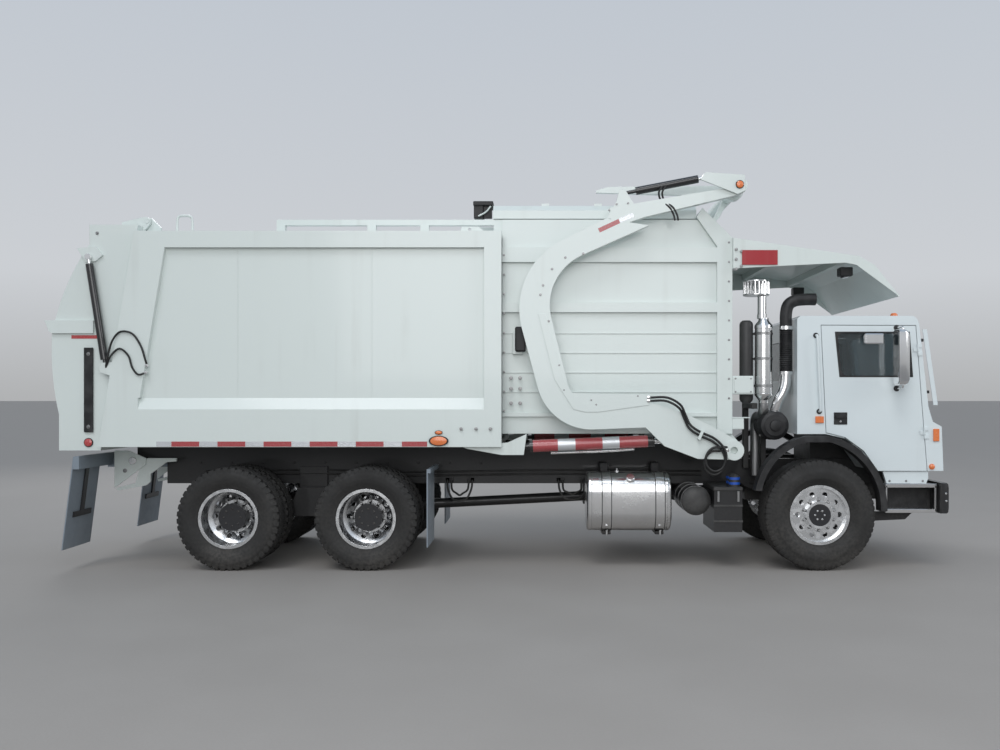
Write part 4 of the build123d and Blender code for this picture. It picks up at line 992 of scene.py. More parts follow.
# %% [markdown]
# ## Cab fittings
# Seals, handles and wipers are what make a cab look finished. The seals fill the step between
# glass and sheet. The handle is a paddle on a black plate, with a lock below it, and a small
# spot mirror stands over each window.

# %% Door fittings
window_corners = [(3.456, 2.430), (4.221, 2.430), (4.255, 1.966), (3.503, 1.966)]


def rounded(corners, radius, steps=5):
    """An outline with its corners rounded."""
    outline = []
    for number, corner in enumerate(corners):
        corner = Vector(corner)
        before = (Vector(corners[number - 1]) - corner).normalized() * radius
        after = (Vector(corners[(number + 1) % len(corners)]) - corner).normalized() * radius
        for step in range(steps + 1):
            t = step / steps
            point = corner + before * (1 - t) ** 2 + after * t**2
            outline.append((point.x, point.y))
    return outline


def seal(shape, corners, width, y_low, y_high, paint):
    """A frame that follows an outline."""
    corners = [Vector(corner) for corner in corners]
    middle = sum(corners, Vector((0, 0))) / len(corners)
    span = max((corner - middle).length for corner in corners)
    inner = [middle + (corner - middle) * (1 - width / span * 1.4) for corner in corners]
    outside, inside = rounded(corners, 0.004), rounded(inner, 0.060)
    count = len(outside)
    points = [(x, y, z) for y in (y_low, y_high) for x, z in (*outside, *inside)]
    faces = []
    for n in range(count):
        m = (n + 1) % count
        for one, two in ((0, count), (2 * count, 3 * count), (0, 2 * count), (count, 3 * count)):
            faces.append((one + n, one + m, two + m, two + n))
    shape.add(points, faces, paint)


for side, side_name in sides:
    shape = Shape()
    seal(shape, window_corners, 0.022, side * 1.080, side * 1.1025, black)
    # Handle plate, with its paddle and a lock
    block(shape, (3.446, side * 1.098, 1.482), (3.582, side * 1.106, 1.606), black, 0.006)
    block(shape, (3.458, side * 1.104, 1.548), (3.570, side * 1.118, 1.584), black, 0.006)
    lock = [(0, 0), (0, 0.011), (0.006, 0.010), (0.006, 0)]
    turned(shape, (3.512, side * 1.105, 1.512), (0, side, 0), lock, bright, 16)
    # Spot mirror over the window
    block(shape, (3.775, side * 1.100, 2.405), (3.885, side * 1.165, 2.418), black, 0.003)
    block(shape, (3.735, side * 1.120, 2.300), (3.935, side * 1.180, 2.408), bright, 0.026)
    body = f"cab_door_{side_name}"
    finish_piece(f"door_fittings_{side_name}", body, shape)


# %% Cab front
def screen_x(z):
    """The windscreen's face at a height."""
    return 4.413 - (z - 1.662) * 0.112


wiper_pivot = [(0, 0), (0, 0.022), (0.020, 0.018), (0.026, 0)]
deflector = [(4.355, 2.455), (4.400, 2.455), (4.512, 1.680), (4.467, 1.680)]
shape = Shape()
for start, end in ((-0.86, -0.14), (0.14, 0.86)):
    pivot_y, middle = start + 0.06, (start + end) / 2
    arm = (
        (screen_x(1.63) + 0.022, pivot_y, 1.625),
        (screen_x(1.70) + 0.026, pivot_y + 0.12, 1.70),
        (screen_x(1.74) + 0.022, middle, 1.742),
    )
    blade = (
        (screen_x(1.72) + 0.016, start, 1.718),
        (screen_x(1.745) + 0.018, middle, 1.745),
        (screen_x(1.765) + 0.016, end, 1.765),
    )
    bent_tube(shape, arm, 0.007, black, 8)
    bent_tube(shape, blade, 0.009, black, 8)
    turned(shape, (screen_x(1.63) + 0.002, pivot_y, 1.625), (1, 0, 0.1), wiper_pivot, black, 16)
for side, _ in sides:
    # Air deflector on the corner post
    slab(shape, deflector, side * 1.085, side * 1.093, cab_white)
    for z in (1.80, 2.33):
        low, high = (screen_x(z) - 0.03, side * 1.040, z), (screen_x(z) + 0.03, side * 1.088, z + 0.03)
        block(shape, low, high, black)
finish_piece("cab_front_fittings", "chassis", shape)

# %% [markdown]
# ## Arm fittings
# The arm is welded from flat plates, with doublers at its corners, and bolts along it hold the
# hose clamps. Two hoses cross from the arm's lobe to its pivot and hang there in a loose loop,
# because the pivot turns under them. Both ends are held, so they are made as they lie.

# %% Arm plates, bolts and hoses
cover_plate = [
    (0.425, 2.602), (0.591, 1.940), (0.780, 1.640), (0.900, 1.612), (1.031, 1.612),
    (1.541, 1.683), (1.541, 1.789), (0.770, 1.804), (0.690, 1.930), (0.500, 2.602),
]
arm_bolts = (
    (0.879, 3.203), (0.700, 3.164), (0.566, 3.049), (0.475, 2.885), (0.449, 2.791), (0.532, 2.525),
    (0.637, 2.082), (0.687, 1.834), (0.960, 1.733), (1.011, 1.688), (1.428, 1.774),
)
ear_bolts = ((1.140, 3.640), (1.215, 3.700), (1.330, 3.710))
pivot_hose = (
    (1.536, 1.723), (1.708, 1.723), (1.839, 1.652), (1.890, 1.551), (1.940, 1.450), (2.041, 1.379),
    (2.173, 1.319), (2.264, 1.235), (2.300, 1.130), (2.262, 1.020), (2.180, 0.985), (2.105, 1.040),
    (2.100, 1.140), (2.160, 1.215), (2.250, 1.225), (2.330, 1.226),
)
head_hose = ((1.690, 3.905), (1.640, 3.820), (1.665, 3.740), (1.745, 3.670), (1.790, 3.600), (1.800, 3.540))
hose_clamp = [(2.020, 1.345), (2.045, 1.330), (2.085, 1.420), (2.060, 1.435)]
for side, side_name in sides:
    shape = Shape()
    slab(shape, cover_plate, side * 1.254, side * 1.261, white)
    side_bolts(shape, arm_bolts, 1.256, side, 0.009, dark_steel)
    for offset, out in ((0.0, 1.282), (0.034, 1.292)):
        route = [Vector((x + offset * 0.3, side * out, z + offset)) for x, z in pivot_hose]
        route[0].y = route[-1].y = side * 1.245
        bent_tube(shape, route, 0.0125, hose_black)
        wavy = enumerate(head_hose)
        route = [(x + offset, side * (1.235 + 0.02 * (number % 2)), z) for number, (x, z) in wavy]
        bent_tube(shape, route, 0.010, hose_black)
    slab(shape, hose_clamp, side * 1.250, side * 1.312, white)
    for x, z in ((1.536, 1.723), (1.536, 1.757), (2.330, 1.226)):
        turned(shape, (x, side * 1.225, z), (0, side, 0), head(0.019, 0.040), bright, 6)
    side_bolts(shape, ear_bolts, 1.256, side, 0.008, dark_steel)
    finish_piece(f"arm_fittings_{side_name}", "lift_arms", shape)

# %% Fork shaft ends
shape = Shape()
for side, _ in sides:
    lamp(shape, (2.446, side * 1.284, 3.8925), (0, side, 0), 0.036, amber_lens)
finish_piece("fork_shaft_reflectors", "forks", shape)

# %% [markdown]
# ## Body fittings
# The body is bolted to its frame and to the hopper, and its hydraulics show at the tailgate:
# a black cylinder, two hoses and the rod that locks the gate. The hopper carries the rubber pad
# that the resting arm leans on.

# %% Body fittings
hopper_bolts = [(x, z) for x in (0.1475, 0.2405) for z in (1.958, 1.848, 1.700)]
doubler_bolts = ((-0.350, 1.442), (-0.199, 1.442), (-0.055, 1.442))
step_bolts = [(x, z + 0.2 * number) for number in range(9) for x, z in ((0.075, 1.62), (2.385, 1.75))]
sill_bolts = [(-3.60 + 0.34 * number, 1.045) for number in range(11)]
gate_hoses = (
    ((-3.935, 2.075), (-3.900, 2.200), (-3.860, 2.330), (-3.780, 2.420), (-3.660, 2.400), (-3.575, 2.280),
     (-3.535, 2.160), (-3.520, 2.080)),
    ((-3.935, 2.060), (-3.880, 2.170), (-3.790, 2.250), (-3.700, 2.180), (-3.660, 2.060), (-3.600, 1.990),
     (-3.530, 2.010)),
)
hose_end_y, hose_run_y = 1.215, 1.238
shape = Shape()
for side, _ in sides:
    side_bolts(shape, hopper_bolts, 1.050, side, 0.014, dark_steel)
    side_bolts(shape, doubler_bolts, 1.236, side, 0.012, dark_steel)
    side_bolts(shape, sill_bolts, 0.425, side, 0.011, frame_black)
    side_bolts(shape, step_bolts, 1.050, side, 0.008, dark_steel)
    for hose in gate_hoses:
        route = [Vector((x, side * hose_run_y, z)) for x, z in hose]
        route[0].y = route[-1].y = side * hose_end_y
        bent_tube(shape, route, 0.010, hose_black)
        nozzle_x, nozzle_z = hose[-1]
        turned(shape, (nozzle_x, side * 1.205, nozzle_z), (0, side, 0), head(0.017, 0.030), bright, 6)
    # Rubber pad for the resting arm, on its white bracket
    block(shape, (0.165, side * 1.000, 2.200), (0.270, side * 1.075, 2.420), white, 0.006)
    block(shape, (0.190, side * 1.070, 2.225), (0.300, side * 1.140, 2.480), black, 0.014)
finish_piece("body_fittings", "chassis", shape)

# %% Tailgate fittings
lock_rod = (
    (-3.845, 1.142, 1.870), (-3.800, 1.152, 1.800), (-3.775, 1.152, 1.730), (-3.760, 1.142, 1.660),
)
shape = Shape()
for side, _ in sides:
    # Black sleeve of the prop, its pins and the lock rod
    block(shape, (-4.190, side * 1.136, 1.405), (-4.098, side * 1.152, 2.265), black, 0.008)
    side_bolts(shape, ((-4.144, 1.46), (-4.144, 2.20)), 1.151, side, 0.013, dark_steel)
    bent_tube(shape, [(x, side * y, z) for x, y, z in lock_rod], 0.009, dark_steel, 8)
    side_bolts(shape, ((-4.062, 3.431),), 1.131, side, 0.012, dark_steel)
finish_piece("tailgate_fittings", "tailgate", shape)

# %% Top door bracket
shape = Shape()
block(shape, (-0.250, -0.840, 3.640), (-0.150, -0.600, 3.790), black, 0.006)
block(shape, (-0.255, -0.860, 3.770), (-0.045, -0.580, 3.815), black, 0.006)
block(shape, (-0.150, -0.820, 3.640), (-0.060, -0.790, 3.775), black, 0.004)
bent_tube(shape, ((-0.20, -0.865, 3.655), (-0.12, -0.865, 3.70), (-0.07, -0.865, 3.76)), 0.009, white, 8)
finish_piece("top_door_bracket", "top_door", shape)

# %% [markdown]
# ## Canopy and canister fittings
# The canopy carries work lights and a plain red plate on its side. The two canisters by the
# battery box have blue sleeves, which are bands turned about the canisters' own axes.

# %% Canopy fittings
canopy_bolts = ((2.448, 3.27), (2.448, 3.17), (2.448, 3.07), (2.500, 3.25), (2.500, 3.10))
shape = Shape()
for side, _ in sides:
    block(shape, (2.506, side * 1.107, 3.112), (2.870, side * 1.113, 3.262), sign_red, 0.002)
    side_bolts(shape, canopy_bolts, 1.107, side, 0.011, dark_steel)
    block(shape, (3.557, side * 0.840, 3.020), (3.690, side * 0.960, 3.110), black, 0.008)
    lamp(shape, (3.624, side * 0.900, 3.022), (0.2, 0, -1), 0.040, clear_lens, black)
finish_piece("canopy_fittings", "chassis", shape)

# %% Canister sleeves
canister_x, canister_ys = 2.450, (-1.000, -0.860)
shape = Shape()
for y in canister_ys:
    for z in (0.862, 0.912):
        turned(shape, (canister_x, y, z), up, band(0, 0.026, 0.0555, 0.0580), cap_blue, 28)
finish_piece("canister_sleeves", "chassis", shape)

# %% [markdown]
# ## Fuel tank
# The tank is rolled from polished alloy with pressed ends, and two bands hold it on rubber. It
# is a skin through round-cornered loops; the loops step in and out to make beads and bands.

# %% Fuel tank


def lofted(shape, loops, paint):
    """A skin through loops that have as many points each, with its ends closed."""
    count = len(loops[0])
    points = [point for loop in loops for point in loop]
    faces = [tuple(range(count)), tuple(range(len(points) - count, len(points)))]
    for ring in range(len(loops) - 1):
        for n in range(count):
            m = (n + 1) % count
            low = ring * count
            faces.append((low + n, low + m, low + count + m, low + count + n))
    shape.add(points, faces, paint)


def soft_loop(half_one, half_two, corner, steps=8):
    """A round-cornered rectangle as pairs about its middle."""
    loop = []
    for quarter, (a, b) in enumerate(((1, 1), (-1, 1), (-1, -1), (1, -1))):
        for step in range(steps + 1):
            angle = math.pi / 2 * (quarter + step / steps)
            one = a * (half_one - corner) + corner * math.cos(angle)
            loop.append((one, b * (half_two - corner) + corner * math.sin(angle)))
    return loop


tank_low, tank_high = Vector((0.923, -1.100, 0.3755)), Vector((1.796, -0.600, 0.9845))
tank_middle, tank_half = (tank_low + tank_high) / 2, (tank_high - tank_low) / 2
tank_corner = 0.200


def tank_loop(x, grow):
    """The tank's section at one X, grown outward."""
    loop = soft_loop(tank_half.y + grow, tank_half.z + grow, tank_corner + grow)
    return [(x, tank_middle.y + y, tank_middle.z + z) for y, z in loop]


# Steps inward from an end: how far along, and how much the section grows
tank_steps = (
    (0.000, -0.050), (0.006, -0.020), (0.016, -0.006), (0.028, 0.0),
    (0.046, 0.0), (0.050, -0.005), (0.058, -0.005), (0.062, -0.002),
)
filler = [
    (-0.03, 0), (-0.03, 0.040), (0.010, 0.040), (0.010, 0.046), (0.030, 0.046), (0.034, 0.040), (0.034, 0),
]
sender = [(0, 0), (0, 0.030), (0.012, 0.030), (0.014, 0.010), (0.034, 0.010), (0.036, 0)]
strap_bolt = [(-0.05, 0), (-0.05, 0.012), (0.0, 0.012), (0.002, 0)]
shape = Shape()
loops = [tank_loop(tank_low.x + along, grow) for along, grow in tank_steps]
loops += [tank_loop(tank_high.x - along, grow) for along, grow in reversed(tank_steps)]
lofted(shape, loops, alloy)
for band_x in (1.129, 1.676):
    # A strip of rubber with the alloy band over it, and the bracket to the rail
    for half, inner, outer, paint in ((0.052, -0.004, 0.002, black), (0.044, -0.001, 0.006, alloy)):
        steps = ((-half, inner), (-half, outer), (half, outer), (half, inner))
        lofted(shape, [tank_loop(band_x + x, grow) for x, grow in steps], paint)
    block(shape, (band_x - 0.045, -0.640, 0.340), (band_x + 0.045, -0.425, 1.060), black, 0.006)
    block(shape, (band_x - 0.045, -1.000, 0.345), (band_x + 0.045, -0.600, 0.378), black, 0.006)
    turned(shape, (band_x, -1.070, 0.350), down, strap_bolt, bright, 12)
turned(shape, (1.370, -1.045, 0.925), (0, -0.75, 0.66), filler, bright, 28)
turned(shape, (1.250, -0.850, 0.982), up, sender, bright, 18)
tank_piece = finish_piece("polished_tank", "chassis", shape, 30)
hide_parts("fuel_tank")

# %% [markdown]
# ## Exhaust
# Behind the cab stand a bright silencer, a dark canister and a short stack. The stack ends in a
# slotted guard, which is a ring of bars between two plates so that one sees through it.

# %% Exhaust
silencer_x, guard_x, exhaust_y, silencer_foot = 2.763, 2.686, -0.950, 1.700
silencer = [
    (0, 0), (0, 0.050), (0.030, 0.052), (0.075, 0.088), (0.085, 0.0925), (0.100, 0.0925), (0.102, 0.089),
    (0.770, 0.089), (0.772, 0.0925), (0.800, 0.0925), (0.812, 0.088), (0.850, 0.056), (0.880, 0.050),
    (0.880, 0),
]
stack = [(0, 0), (0, 0.050), (0.045, 0.050), (0.047, 0.0445), (0.235, 0.0445), (0.235, 0)]
canister = [
    (0, 0), (0, 0.040), (0.020, 0.062), (0.040, 0.070), (0.820, 0.070), (0.842, 0.062), (0.860, 0.040),
    (0.860, 0),
]
guard_plate = [(0, 0), (0, 0.131), (0.003, 0.135), (0.011, 0.135), (0.014, 0.131), (0.014, 0)]
down_pipe = (
    (silencer_x, -0.950, 1.720), (silencer_x, -0.935, 1.620), (silencer_x, -0.840, 1.570),
    (silencer_x, -0.680, 1.565), (silencer_x, -0.580, 1.520), (silencer_x, -0.560, 1.420),
    (silencer_x, -0.560, 0.920),
)
shape = Shape()
turned(shape, (silencer_x, exhaust_y, silencer_foot), up, silencer, bright, 32)
turned(shape, (2.746, exhaust_y, 2.575), up, stack, bright, 24)
turned(shape, (2.597, -0.890, silencer_foot), up, canister, iron, 28)
for z in (2.812, 2.952):
    turned(shape, (guard_x, exhaust_y, z), up, guard_plate, bright, 36)
for x, y in around((guard_x, exhaust_y), 0.126, 20):
    tube(shape, [(x, y, 2.815), (x, y, 2.962)], 0.0075, bright, 6)
for z in (1.880, 2.160, 2.420):
    turned(shape, (silencer_x, exhaust_y, z), up, band(-0.014, 0.014, 0.088, 0.0935), dark_steel, 28)
    block(shape, (2.640, -0.915, z - 0.012), (2.700, -0.900, z + 0.012), iron, 0.003)
bent_tube(shape, down_pipe, 0.050, dark_steel, 18)
block(shape, (2.652, -0.900, 1.640), (2.712, -0.425, 1.700), iron, 0.005)
block(shape, (2.652, -0.485, 0.990), (2.712, -0.425, 1.700), iron, 0.005)
exhaust_piece = finish_piece("exhaust_stack", "chassis", shape, 30)
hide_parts("exhaust")

# %% [markdown]
# ## Air intake
# Air comes in under the canopy, goes down a ribbed black duct and a bright elbow, and ends in
# the drum of the air cleaner. The duct's ribs are rings of its outline.

# %% Air intake
duct_x, duct_y, drum_x, drum_z = 2.996, -0.950, 2.862, 1.470
top_elbow = (
    (duct_x, duct_y, 2.480), (duct_x, duct_y, 2.620), (3.020, duct_y, 2.715),
    (3.090, duct_y, 2.762), (3.200, duct_y, 2.775), (3.300, duct_y, 2.775),
)
bright_elbow = (
    (duct_x, duct_y, 2.020), (2.990, duct_y, 1.900), (2.962, duct_y, 1.810),
    (2.920, -0.945, 1.730), (2.895, -0.930, 1.640), (2.880, -0.910, 1.560),
)
rib_pitch, rib_section = 0.020, ((0.008, 0.061), (0.014, 0.068), (0.018, 0.068), (0.024, 0.061))
ribs = [(along + rib_pitch * number, radius) for number in range(22) for along, radius in rib_section]
drum = [
    (0, 0), (0, 0.135), (0.012, 0.150), (0.110, 0.150), (0.114, 0.1555), (0.135, 0.1555), (0.139, 0.150),
    (0.300, 0.150), (0.330, 0.142), (0.345, 0.110), (0.352, 0.108), (0.356, 0.060), (0.372, 0.055),
    (0.380, 0.030), (0.380, 0),
]
shape = Shape()
bent_tube(shape, top_elbow, 0.062, black, 22)
ribbed = [(0, 0), (0, 0.060), *ribs, (0.470, 0.060), (0.470, 0)]
turned(shape, (duct_x, duct_y, 2.020), up, ribbed, black, 26)
for z in (2.478, 2.010):
    turned(shape, (duct_x, duct_y, z), up, band(-0.018, 0.018, 0.060, 0.072), bright, 26)
bent_tube(shape, bright_elbow, 0.057, bright, 22)
turned(shape, (drum_x, -0.700, drum_z), (0, -1, 0), drum, black, 40)
for x, z in around((drum_x, drum_z), 0.152, 4, 0.5):
    block(shape, (x - 0.010, -0.850, z - 0.010), (x + 0.010, -0.800, z + 0.010), bright, 0.003)
block(shape, (2.842, -0.705, 1.380), (2.902, -0.425, 1.440), iron, 0.005)
block(shape, (2.842, -0.485, 0.990), (2.902, -0.425, 1.440), iron, 0.005)
intake_piece = finish_piece("air_intake_duct", "chassis", shape, 30)
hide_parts("air_intake")

# %% [markdown]
# ## Mirrors
# Each mirror is a bright shell on two bent tubes, with its glass looking back. The shell is a
# skin through round-cornered loops that shrink towards the front.

# %% Mirrors
# X of each section of the shell, and how much it grows there
shell_sections = (
    (4.020, -0.012), (4.017, -0.004), (4.020, 0.0), (4.075, 0.0), (4.110, -0.012), (4.130, -0.034),
)
glass_faces = (4.016, 4.0135)
mirror_brace = (
    (4.150, 1.104, 1.870), (4.150, 1.150, 1.960), (4.150, 1.180, 2.160), (4.150, 1.150, 2.360),
    (4.150, 1.104, 2.450),
)
arm_foot = [(0, 0), (0, 0.030), (0.006, 0.030), (0.010, 0.014), (0.010, 0)]


def mirror_loop(side, x, grow, middle_z=2.160, half_high=0.280):
    """A section of a mirror's shell or glass at one X."""
    return [(x, side * 1.280 + y, middle_z + z) for y, z in soft_loop(0.088 + grow, half_high + grow, 0.040)]


for side, side_name in sides:
    shape = Shape()
    lofted(shape, [mirror_loop(side, x, grow) for x, grow in shell_sections], bright)
    for middle_z, half_high in ((2.235, 0.195), (1.958, 0.075)):
        glass = [mirror_loop(side, x, -0.014, middle_z, half_high) for x in glass_faces]
        lofted(shape, glass, mirror_glass)
    for z, way in ((2.470, 1), (1.850, -1)):
        mirror_arm = (
            (4.086, 1.098, z), (4.086, 1.180, z), (4.084, 1.250, z),
            (4.080, 1.282, z - way * 0.015), (4.078, 1.285, z - way * 0.050),
        )
        bent_tube(shape, [(x, side * y, z) for x, y, z in mirror_arm], 0.011, bright, 12)
        turned(shape, (4.086, side * 1.098, z), (0, side, 0), arm_foot, black, 20)
    bent_tube(shape, [(x, side * y, z) for x, y, z in mirror_brace], 0.009, bright)
    body = f"cab_door_{side_name}"
    mirror_piece = finish_piece(f"mirror_head_{side_name}", body, shape)
    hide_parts(f"mirror_{side_name}")

# %% [markdown]
# ## Steps, bumper and grille
# The cab's step is an open box of two bright treads, and the bumper is a bent steel beam with
# the headlamps let into it. The treads have slots, made as bars side by side.

# %% Steps
step_back, step_front = 3.962, 4.488
cab_foot = [(3.952, 1.002), (4.416, 1.002), (4.416, 0.930), (4.395, 0.879), (3.990, 0.879)]
splash_plate = [(3.880, 0.583), (4.300, 0.583), (4.215, 0.500), (3.880, 0.485)]
shape = Shape()
for side, _ in sides:
    for z_low, z_high in ((0.840, 0.879), (0.583, 0.622)):
        for y in (0.955, 0.995, 1.035, 1.075):
            low, high = (step_back, side * y, z_low + 0.008), (step_front, side * (y + 0.026), z_high - 0.004)
            block(shape, low, high, bright)
        block(shape, (step_back, side * 1.112, z_low), (step_front, side * 1.130, z_high), bright)
        for x in (step_back, 4.130, 4.300, 4.470):
            low, high = (x, side * 0.952, z_low + 0.010), (x + 0.018, side * 1.120, z_high - 0.010)
            block(shape, low, high, bright)
    for x in (step_back, 4.464):
        block(shape, (x, side * 1.108, 0.600), (x + 0.022, side * 1.130, 0.860), bright, 0.004)
        block(shape, (x, side * 0.950, 0.600), (x + 0.022, side * 0.962, 0.860), black, 0.004)
    block(shape, (step_back, side * 0.950, 0.600), (step_front, side * 0.956, 0.862), black, 0.002)
    slab(shape, cab_foot, side * 1.040, side * 1.085, cab_white)
    side_bolts(shape, ((4.02, 0.905), (4.19, 0.905), (4.36, 0.905)), 1.085, side, 0.008, dark_steel)
    slab(shape, splash_plate, side * 0.985, side * 0.993, black)
step_piece = finish_piece("cab_step_boxes", "chassis", shape)
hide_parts("cab_steps")

# %% Bumper and headlamps
bumper_middle_z, headlamp_radius = 0.7385, 0.062
bumper_section = [
    (4.500, 0.583), (4.570, 0.583), (4.583, 0.596), (4.588, 0.640),
    (4.588, 0.840), (4.583, 0.881), (4.570, 0.894), (4.500, 0.894),
]
# Y, how far the face steps back there, and how much its height shrinks
bumper_end = ((1.200, -0.030, 0.030), (1.192, -0.008, 0.010), (1.160, 0.0, 0.0))
far_end = [(-y, back, squeeze) for y, back, squeeze in reversed(bumper_end)]
lens_radius = headlamp_radius - 0.009
chrome_ring = [
    (-0.002, 0), (0, headlamp_radius), (0.008, headlamp_radius), (0.010, headlamp_radius - 0.006),
    (0.006, lens_radius), (0.004, 0),
]
headlamp_lens = [(0, lens_radius), (0.005, headlamp_radius - 0.020), (0.008, 0)]
tow_loop = ((4.560, 0.800), (4.593, 0.790), (4.596, 0.745), (4.593, 0.700), (4.560, 0.690))


def bumper_loop(y, back, squeeze):
    """The bumper's section at one Y, with its face stepped back and its height shrunk."""
    loop = []
    for x, z in bumper_section:
        front = x > 4.55
        loop.append((x + back * front, y, bumper_middle_z + (z - bumper_middle_z) * (1 - squeeze)))
    return loop


shape = Shape()
lofted(shape, [bumper_loop(*step) for step in (*bumper_end, *far_end)], frame_black)
for side, _ in sides:
    block(shape, (4.582, side * 0.690, 0.665), (4.592, side * 1.030, 0.812), black, 0.004)
    for y in (0.780, 0.940):
        turned(shape, (4.586, side * y, bumper_middle_z), forward, chrome_ring, bright, 32)
        turned(shape, (4.590, side * y, bumper_middle_z), forward, headlamp_lens, clear_lens, 32)
    block(shape, (4.584, side * 1.050, 0.690), (4.594, side * 1.110, 0.790), amber_lens, 0.006)
    side_bolts(shape, ((4.548, 0.787), (4.552, 0.711)), 1.194, side, 0.012, bright)
    bent_tube(shape, [(x, side * 0.300, z) for x, z in tow_loop], 0.012, frame_black)
bumper_piece = finish_piece("bumper_beam", "chassis", shape)
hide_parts("bumper")


# %% Grille and nose
def nose_x(z):
    """The nose's face at a height."""
    return 4.566 - (z - 1.008) * 0.0398


shape = Shape()
for number in range(9):
    z = 1.090 + 0.036 * number
    block(shape, (nose_x(z) - 0.006, -0.470, z), (nose_x(z) + 0.010, 0.470, z + 0.020), black, 0.004)
for y in (-0.480, 0.462):
    block(shape, (nose_x(1.40) - 0.010, y, 1.078), (nose_x(1.078) + 0.006, y + 0.018, 1.406), black, 0.004)
block(shape, (nose_x(1.40) - 0.004, -0.465, 1.084), (nose_x(1.24) - 0.001, 0.465, 1.400), frame_black, 0.002)
for z in (1.072, 1.394):
    block(shape, (nose_x(z) - 0.006, -0.480, z), (nose_x(z) + 0.012, 0.480, z + 0.014), black, 0.004)
finish_piece("nose_grille", "chassis", shape)

# %% [markdown]
# ## Handles, roof pipes and small boxes
# What a driver or a fitter holds on to is bent from tube: the grab handle behind the door and
# the hoop on the roof. The hopper's front carries a small box for the hydraulic valves.

# %% Handles and boxes
grab_handle = (
    (3.262, 1.098, 2.392), (3.262, 1.140, 2.385), (3.264, 1.150, 2.350), (3.280, 1.150, 1.980),
    (3.294, 1.150, 1.660), (3.296, 1.140, 1.622), (3.296, 1.098, 1.615),
)
handle_foot = [(0, 0), (0, 0.028), (0.005, 0.028), (0.008, 0.014), (0.008, 0)]
roof_hoop = (
    (-3.270, 3.440), (-3.265, 3.580), (-3.240, 3.612), (-3.190, 3.618), (-3.140, 3.612),
    (-3.115, 3.580), (-3.110, 3.440),
)
roof_pipe = ((-3.450, 3.470), (-2.600, 3.466), (-1.700, 3.470), (-0.050, 3.468))
valve_lid_bolts = [(x, z) for x in (2.452, 2.610) for z in (1.818, 1.952)]
shape = Shape()
for side, _ in sides:
    bent_tube(shape, [(x, side * y, z) for x, y, z in grab_handle], 0.012, cab_white, 12)
    for x, z in ((3.262, 2.392), (3.296, 1.615)):
        turned(shape, (x, side * 1.099, z), (0, side, 0), handle_foot, black, 18)
    # Valve box and its bracket on the hopper's front post
    block(shape, (2.418, side * 0.900, 1.790), (2.640, side * 1.050, 1.980), white, 0.008)
    block(shape, (2.440, side * 1.050, 1.806), (2.622, side * 1.054, 1.964), white, 0.003)
    side_bolts(shape, valve_lid_bolts, 1.053, side, 0.006, dark_steel)
    block(shape, (2.418, side * 0.930, 1.430), (2.540, side * 1.050, 1.545), white, 0.006)
    block(shape, (2.410, side * 0.900, 1.545), (2.600, side * 1.052, 1.556), white, 0.003)
    # Seams of the side panel's sheets
    for x in (-2.617, -1.258):
        block(shape, (x - 0.002, side * 1.1695, 1.760), (x + 0.002, side * 1.1708, 3.265), white, 0.0004)
    bent_tube(shape, [(x, side * 1.080, z) for x, z in roof_hoop], 0.013, white, 12)
    bent_tube(shape, [(x, side * 0.700, z) for x, z in roof_pipe], 0.016, white)
# Cylinder that pulls the top door, on the roof between its ears
tube(shape, [(-2.450, 0, 3.520), (-1.150, 0, 3.520)], 0.045, black, 20)
for x in (-2.500, -1.160):
    block(shape, (x, -0.060, 3.440), (x + 0.060, 0.060, 3.560), white, 0.006)
finish_piece("handles_and_boxes", "chassis", shape)

# %% Battery box and tool box fittings
air_tank_x, air_tank_z, air_tank_radius = 2.055, 0.692, 0.149
canister_cap = [
    (0, 0), (0, 0.056), (0.100, 0.056), (0.118, 0.046), (0.128, 0.020), (0.134, 0.012), (0.134, 0),
]
tank_end = [(0, 0), (0, air_tank_radius), (0.012, 0.140), (0.032, 0.100), (0.040, 0)]
tank_band = band(-0.012, 0.012, air_tank_radius, air_tank_radius + 0.004)
tool_box_latch = [(0, 0), (0, 0.022), (0.008, 0.020), (0.010, 0)]
shape = Shape()
for y in canister_ys:
    turned(shape, (canister_x, y, 0.834), up, canister_cap, iron, 24)
block(shape, (2.222, -1.088, 0.800), (2.522, -0.425, 0.842), iron, 0.008)
for z in (0.480, 0.640):
    block(shape, (2.222, -1.086, z), (2.522, -1.079, z + 0.020), iron)
for x in (2.270, 2.474):
    block(shape, (x - 0.012, -1.094, 0.690), (x + 0.012, -1.080, 0.800), dark_steel, 0.004)
block(shape, (0.949, 1.072, 0.520), (1.761, 1.088, 0.932), iron, 0.006)
for x in (1.150, 1.560):
    turned(shape, (x, 1.088, 0.860), (0, 1, 0), tool_box_latch, dark_steel, 20)
for side, _ in sides:
    for y in (0.530, 0.760, 0.960):
        turned(shape, (air_tank_x, side * y, air_tank_z), (0, side, 0), tank_band, dark_steel, 32)
    turned(shape, (air_tank_x, side * 0.995, air_tank_z), (0, side, 0), tank_end, iron, 32)
finish_piece("side_box_fittings", "chassis", shape)

# %% [markdown]
# ## Hoses and wires under the frame
# Air lines and cables hang in short loops between their clips along the rail. Both ends of
# each are clipped, so each is a fixed bent tube.

